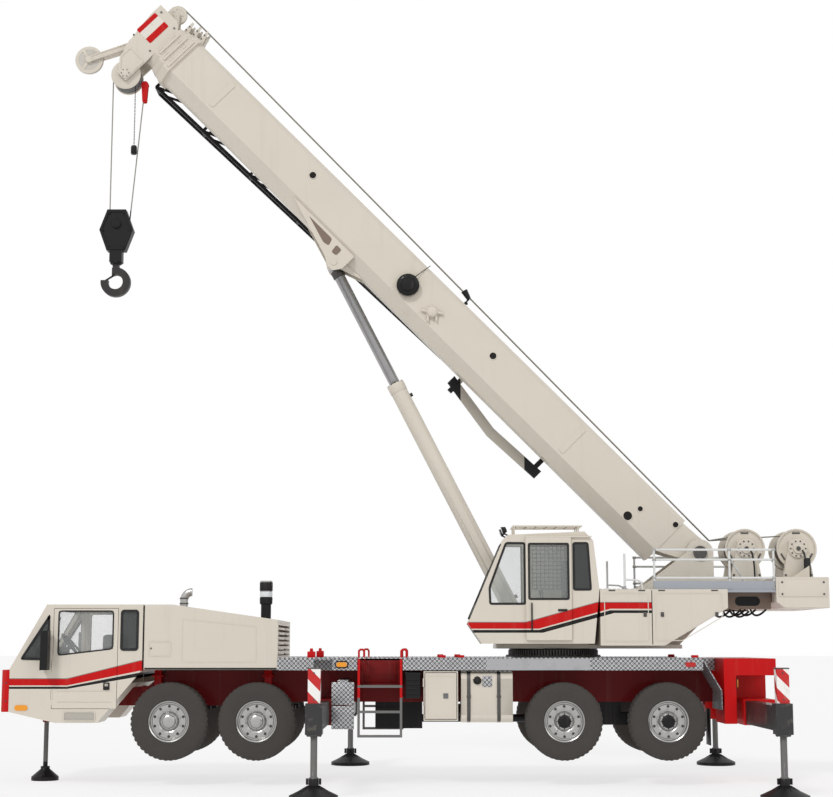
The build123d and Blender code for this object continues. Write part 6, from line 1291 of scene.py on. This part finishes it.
for sign in SIDES.values():
    clips.turned(
        ((0.0, 0.0), (0.075, 0.0), (0.075, 0.016), (0.066, 0.024), (0.0, 0.026)),
        LIFT_EYE + ACROSS * sign * 0.158, (0, sign, 0), 32)
    pin_bolt = LIFT_EYE + Vector((0.05, sign * 0.180, 0))
    clips.ring_of(4, LIFT_EYE, ACROSS, lambda p: p.bolt(pin_bolt, (0, sign, 0), 0.010, 0.010))
clips.done()
gussets = Piece("lift_bracket_gussets", "boom_base", beige)
# brown sheets fill the gusset openings as painted shade of the inside seen through them
gusset_opening_shade = Piece("lift_bracket_opening_shade", "boom_base", painted_shade_brown)
GUSSET_OPENINGS = (
    ((8.20, -0.55), (7.66, -0.55), (7.62, -0.67), (7.72, -0.69)),
    ((7.54, -0.57), (7.42, -0.57), (7.42, -0.70), (7.52, -0.71)))
BOOM_STRAP = rectangle(0, 0.10, -0.40, 0.12)
GUSSET = ((8.62, -0.50), (7.20, -0.50), (7.20, -0.78), (7.29, -0.91), (7.42, -0.91), (7.52, -0.84))
for sign in SIDES.values():
    gussets.sheet_metal(on_boom(GUSSET, sign * 0.284), ACROSS * sign * 0.020, 0.03)
    gussets.bar(boom_spot(7.37, -0.80, sign * 0.17), boom_spot(7.37, -0.80, sign * 0.315), 0.05, 24)
    for hole in GUSSET_OPENINGS:
        gusset_opening_shade.sheet_metal(on_boom(hole, sign * 0.302), ACROSS * sign * 0.004, 0.03)
    for along in (2.6, 10.6):
        strap = on_boom(BOOM_STRAP, sign * 0.308, along)
        gussets.sheet_metal(strap, ACROSS * sign * 0.012, 0.02)
horn = boom_spot(5.67, -0.26, -0.31)
gussets.slab(horn - Vector((0.10, 0.014, 0.07)), horn + Vector((0.10, 0.004, 0.07)), 0.004)
gussets.turned(((0.092, 0.0), (0.090, 0.050), (0.070, 0.078), (0.035, 0.090), (0.0, 0.092)), horn, LEFT, 32)
for turn in (-1, 1):
    root, mouth = Vector((turn * 0.05, -0.03, 0)), Vector((turn * 0.17, -0.03, turn * -0.03))
    gussets.bar(horn + root, horn + mouth, 0.028, 16, 0.020)
    gussets.bar(horn + Vector((turn * 0.06, -0.03, 0)), horn + Vector((turn * 0.07, -0.03, -0.15)), 0.020, 12)
finish_all(gussets, gusset_opening_shade)

# Boom head: collar fins and pads, hazard panels, sheaves, idler, limit weight on its chain, dead end
COLLARS = (("boom_base", 11.55, 0.0), ("boom_section_2", 11.69, 0.036), ("boom_section_3", 11.83, 0.072))
PAD_FRAME = rectangle(0.02, 0.11, -0.06, 0.06)
TIE_HALF = 0.135
COLLAR_WALL = 0.034
for body, along, step in COLLARS:
    fins = Piece(body + "_collar_fins", body, beige)
    pads = Piece(body + "_wear_pads", body, dark_steel)
    top = BOOM_TOP - step
    side_face = BOOM_FACE - step + COLLAR_WALL
    for sign in SIDES.values():
        fin = ((0.01, top + 0.02), (0.12, top + 0.02), (0.12, top + 0.26), (0.09, top + 0.26))
        fins.sheet_metal(on_boom(fin, sign * 0.10, along), ACROSS * sign * 0.018)
        strip = rectangle(0.045, 0.085, -0.44 + step, top - 0.06)
        fins.sheet_metal(on_boom(strip, sign * (side_face - 0.003), along), ACROSS * sign * 0.020)
        for up in (-0.05, -0.28):
            spot = boom_spot(along + 0.065, up, sign * (side_face - 0.002))
            pads.bolt(spot, (0, sign, 0), 0.020, 0.014)
        for up in (-0.02, -0.31):
            face = on_boom(PAD_FRAME, sign * (side_face - 0.003), along, up)
            fins.ring(face, ACROSS * sign * 0.008, 0.015, 0.014)
    for up in (0.09, 0.17):
        tie = boom_spot(along + 0.10, top + up)
        pads.bar(tie - ACROSS * TIE_HALF, tie + ACROSS * TIE_HALF, 0.012, 10)
    fins.done()
    pads.done()

HEAD = "boom_section_4"
HEAD_FACE = 0.224
GUARD_PROFILE = (
    (0.0, 0.140), (0.236, 0.140), (0.242, 0.146), (0.242, 0.158), (0.232, 0.164), (0.12, 0.164), (0.0, 0.166))
HAZARD_PANEL = rectangle(12.14, 12.47, -0.36, 0.06)
HEAD_CHEEK = ((11.99, -1.05), (12.16, -1.05), (12.34, -0.86), (12.34, -0.62), (11.99, -0.62))
NOSE_ARM = ((12.345, -0.58), (12.44, -0.54), (12.745, -1.19), (12.655, -1.21))
hazard_panels = Piece("head_hazard_panels", HEAD, hazard_stripes)
head_steel = Piece("head_fittings", HEAD, dark_steel)
head_plates = Piece("head_side_plates", HEAD, beige)
sheave_guards = Piece("head_sheave_guards", HEAD, beige)
IDLER_AT = boom_spot(12.25, 0.33)
SHEAVE_AT = boom_spot(12.06, -1.0)
for sign in SIDES.values():
    hazard_panels.sheet_metal(on_boom(HAZARD_PANEL, sign * HEAD_FACE), ACROSS * sign * 0.006, 0.02)
    head_plates.turned(
        ((0.0, 0.222), (0.085, 0.222), (0.085, 0.236), (0.070, 0.244), (0.0, 0.246)),
        SHEAVE_AT, (0, sign, 0), 32)
    head_steel.ring_of(6, SHEAVE_AT, ACROSS, lambda p: p.bolt(
        SHEAVE_AT + Vector((0.062, sign * 0.242, 0)), (0, sign, 0), 0.010, 0.010))
    sheave_guards.turned(GUARD_PROFILE, SHEAVE_AT, (0, sign, 0), 48)
    head_plates.ring(on_boom(HEAD_CHEEK, sign * HEAD_FACE), ACROSS * sign * 0.010, 0.05, 0.030)
    for a, u in ((12.05, 0.10), (12.40, 0.14), (12.05, -0.45), (12.44, -0.45)):
        head_steel.bolt(boom_spot(a, u, sign * HEAD_FACE), (0, sign, 0), 0.016, 0.014)
    head_plates.ring(on_boom(NOSE_ARM, sign * 0.073), ACROSS * sign * 0.010, 0.02, 0.018)
finish_all(hazard_panels, head_plates, sheave_guards, head_steel)


def rope_wheel(name, body, centre, radius, half, spokes):
    """A rope sheave over its CAD disc: two flanges, rope groove, web with raised spokes, and hub."""
    wheel = Piece(name, body, beige)
    flank = [
        (radius - 0.010, half * 0.3), (radius + 0.006, half * 0.7), (radius + 0.004, half + 0.003),
        (radius - 0.05, half + 0.003)]
    wheel.turned(flipped(flank) + [(radius - 0.014, 0.0)] + flank, centre, ACROSS, 56)
    for sign in SIDES.values():
        hub = (0.0, half - 0.002), (0.062, half - 0.002), (0.058, half + 0.014), (0.0, half + 0.014)
        wheel.turned(hub, centre, (0, sign, 0), 28)
        wheel.ring_of(spokes, centre, ACROSS, lambda p: p.slab(
            centre + Vector((0.04, sign * (half - 0.001), -0.022)),
            centre + Vector((radius - 0.04, sign * (half + 0.008), 0.022)), 0.003))
    return wheel.done()


rope_wheel("nose_sheave", HEAD, NOSE_AT, 0.225, 0.032, 3)
rope_wheel("rope_idler", HEAD, IDLER_AT, 0.150, 0.030, 3)
switch = Piece("hoist_limit_weight", "hook_block", black)
WEIGHT_AT = Vector((-4.63, -0.075, 10.03))
WEIGHT_HEIGHT = 0.15
LINK_STEP = 0.030
LINK_LENGTH = 0.036
switch.turned(
    ((0.0, 0.0), (0.042, 0.0), (0.050, 0.02), (0.050, 0.12), (0.040, 0.145), (0.0, WEIGHT_HEIGHT)),
    WEIGHT_AT, UP, 28)
for link in range(34):
    spot = WEIGHT_AT + UP * (WEIGHT_HEIGHT + link * LINK_STEP)
    across = (FORWARD if link % 2 else ACROSS) * 0.007
    for turn in (-1, 1):
        switch.bar(spot + across * turn, spot + across * turn + UP * LINK_LENGTH, 0.0032, 5)
switch.done()
wedge = Piece("rope_dead_end", "hook_block", red)
DEAD_END = boom_spot(11.76, -0.884)
WEDGE_CHEEK = ((-0.055, 0.0), (0.055, 0.0), (0.035, -0.30), (-0.035, -0.30))
wedge.turned(
    ((0.0, -0.044), (0.056, -0.044), (0.062, -0.036), (0.062, 0.036), (0.056, 0.044), (0.0, 0.044)),
    DEAD_END, ACROSS, 28)
for sign in SIDES.values():
    cheek = [DEAD_END + Vector(spot) for spot in at_side(WEDGE_CHEEK, sign * 0.030)]
    wedge.sheet_metal(cheek, ACROSS * sign * 0.012, 0.02)
    wedge.bolt(DEAD_END + Vector((0, sign * 0.040, -0.26)), (0, sign, 0), 0.016, 0.014)
wedge.done()

# Hook block: cheek rims, pin bosses, bolts, hook latch and collar
HOOK_X = -4.883
HOOK_PIN = Vector((HOOK_X, 0, 8.86))
block_trim = Piece("hook_block_rims", "hook_block", black)
block_steel = Piece("hook_block_steel", "hook_block", black)
CHEEK = ((-0.145, 8.43), (0.145, 8.43), (0.268, 8.76), (0.145, 9.09), (-0.145, 9.09), (-0.268, 8.76))
for sign in SIDES.values():
    block_trim.ring([(HOOK_X + x, sign * 0.094, z) for x, z in CHEEK], ACROSS * sign * 0.014, 0.04, 0.035)
    block_steel.turned(
        ((0.0, 0.090), (0.080, 0.090), (0.080, 0.112), (0.066, 0.124), (0.0, 0.126)),
        HOOK_PIN, (0, sign, 0), 32)
    block_steel.ring_of(6, HOOK_PIN, ACROSS, lambda p: p.bolt(
        HOOK_PIN + Vector((0.052, sign * 0.120, 0)), (0, sign, 0), 0.010, 0.010))
    for x, z in ((-0.12, 9.04), (0.12, 9.04), (-0.12, 8.48), (0.12, 8.48), (-0.22, 8.76), (0.22, 8.76)):
        block_trim.bolt((HOOK_X + x, sign * 0.094, z), (0, sign, 0), 0.018, 0.022)
block_steel.turned(
    ((0.0, 8.20), (0.085, 8.20), (0.098, 8.215), (0.098, 8.255), (0.085, 8.27), (0.0, 8.27)),
    (HOOK_X, 0, 0), UP, 32)
latch_top = Vector((HOOK_X - 0.02, 0, 8.03))
latch_tip = Vector((HOOK_X - 0.215, 0, 7.905))
for sign in SIDES.values():
    block_steel.bar(latch_top + ACROSS * sign * 0.030, latch_tip + ACROSS * sign * 0.018, 0.009, 8)
block_steel.bar(latch_top + ACROSS * -0.055, latch_top + ACROSS * 0.055, 0.014, 12)
block_steel.bar(latch_tip + ACROSS * -0.028, latch_tip + ACROSS * 0.028, 0.012, 10)
finish_all(block_trim, block_steel)

# Hoist rope: drum to boom foot, along the boom, over the collars, over the idler to the head sheaves
ROPE = 0.0105
ROPE_YS = (-0.018, 0.018)
IDLER_REACH = 0.151
FOOT_AT = boom_spot(0.0, 0.30)
leads = Piece("hoist_rope_lead", None, rope_steel)
for (x, z), y in zip(WINCHES, ROPE_YS):
    leads.bar((x, y, z + 0.232), FOOT_AT + ACROSS * y, ROPE, 10)
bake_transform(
    leads.done(), "superstructure", "boom_foot_pin", start=(5.10, 0, 3.80),
    end=FOOT_AT + Vector((0.02, 0, 0)))
ROPE_STAGES = (
    ("hoist_rope_foot", "boom_foot_pin", "boom_base", (0.0, 0.30), (0.9, 0.312)),
    ("hoist_rope_boom", "boom_base", None, (0.9, 0.312), (11.61, 0.478)),
    ("hoist_rope_collar_2", "boom_base", "boom_section_2", (11.61, 0.478), (11.75, 0.4787)),
    ("hoist_rope_collar_3", "boom_section_2", "boom_section_3", (11.75, 0.4787), (11.89, 0.4794)),
    ("hoist_rope_head", "boom_section_3", "boom_section_4", (11.89, 0.4794), (12.25, 0.481)))
for name, first, second, start, end in ROPE_STAGES:
    rope = Piece(name, None if second else first, rope_steel)
    for y in ROPE_YS:
        rope.bar(boom_spot(*start, y), boom_spot(*end, y), ROPE, 10)
    made = rope.done()
    if second:
        boom_spot(*start)
        boom_spot(*end)
        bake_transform(made)
drop = Piece("hoist_rope_head_drop", HEAD, rope_steel)
for y in ROPE_YS:
    over = []
    for turn in range(0, 91, 15):
        angle = math.radians(turn)
        away = RISE * math.cos(angle) + ALONG * math.sin(angle)
        over.append(IDLER_AT + away * IDLER_REACH + ACROSS * y)
    drop.run(over, ROPE, 10)
    drop.bar(over[-1], SHEAVE_AT + ALONG * 0.214 + ACROSS * y * 1.5, ROPE, 10)
drop.done()

# Studio: white surround, soft light, pale floor that keeps the shadow
SKY_LIGHT = 0.51
SUNS = (("key", (48, 0, -28), 1.25, 12), ("fill", (62, 0, 48), 0.42, 30))
SEEN_RAYS = ("Is Camera Ray", "Is Glossy Ray", "Is Transmission Ray")


def studio():
    """A world that looks white and lights softly, with two broad suns."""
    world = bpy.data.worlds.new("studio")
    bpy.context.scene.world = world
    world.use_nodes = True
    tree = world.node_tree
    back = tree.nodes["Background"]
    path = tree.nodes.new("ShaderNodeLightPath")
    seen = path.outputs[SEEN_RAYS[0]]
    for ray in SEEN_RAYS[1:]:
        either = tree.nodes.new("ShaderNodeMath")
        either.operation = "MAXIMUM"
        tree.links.new(seen, either.inputs[0])
        tree.links.new(path.outputs[ray], either.inputs[1])
        seen = either.outputs[0]
    level = tree.nodes.new("ShaderNodeMix")
    level.data_type = "FLOAT"
    level.inputs[2].default_value = SKY_LIGHT
    level.inputs[3].default_value = 1.0
    tree.links.new(seen, level.inputs[0])
    tree.links.new(level.outputs[0], back.inputs["Strength"])
    back.inputs["Color"].default_value = (1, 1, 1, 1)
    for name, turn, power, angle in SUNS:
        lamp = bpy.data.lights.new(name, "SUN")
        lamp.energy = power
        lamp.angle = math.radians(angle)
        held = bpy.data.objects.new(name, lamp)
        held.rotation_euler = [math.radians(a) for a in turn]
        bpy.context.collection.objects.link(held)


studio()

FLOOR_SIZE = 300
FLOOR_GLOW = 0.72
floor_finish = Finish("floor")
speck = floor_finish.noise(0.8, 2)
floor_finish.put(base_color=floor_finish.mix(speck, tone(236, 236, 236), tone(242, 242, 242)), roughness=0.95)
lit = floor_finish.node("ShaderNodeEmission", {}, {"Color": (1, 1, 1, 1), "Strength": 1.0})
shaded = Socket(floor_finish, floor_finish.shader.outputs[0])
over = floor_finish.node("ShaderNodeMixShader", {}, {0: FLOOR_GLOW, 1: shaded, 2: lit})
floor_finish.tree.links.new(
    over.output, floor_finish.tree.nodes["Material Output"].inputs["Surface"])
ground = bmesh.new()
bmesh.ops.create_grid(ground, x_segments=1, y_segments=1, size=FLOOR_SIZE)
floor_mesh = bpy.data.meshes.new("floor")
ground.to_mesh(floor_mesh)
ground.free()
floor_mesh.materials.append(floor_finish.material)
floor = bpy.data.objects.new("floor", floor_mesh)
bpy.context.collection.objects.link(floor)

# The photo's camera
CAMERA_AT = (0, -26.7, 2.08)
CAMERA_TILT = math.radians(98.352)
camera_data = bpy.data.cameras.new("photo_camera")
camera_data.lens = 72.56
camera_data.sensor_width = 36
camera_data.clip_end = 500
camera = bpy.data.objects.new("photo_camera", camera_data)
camera.location = CAMERA_AT
camera.rotation_euler = (CAMERA_TILT, 0, 0)
bpy.context.collection.objects.link(camera)
bpy.context.scene.camera = camera
bpy.context.scene.view_settings.view_transform = "Standard"
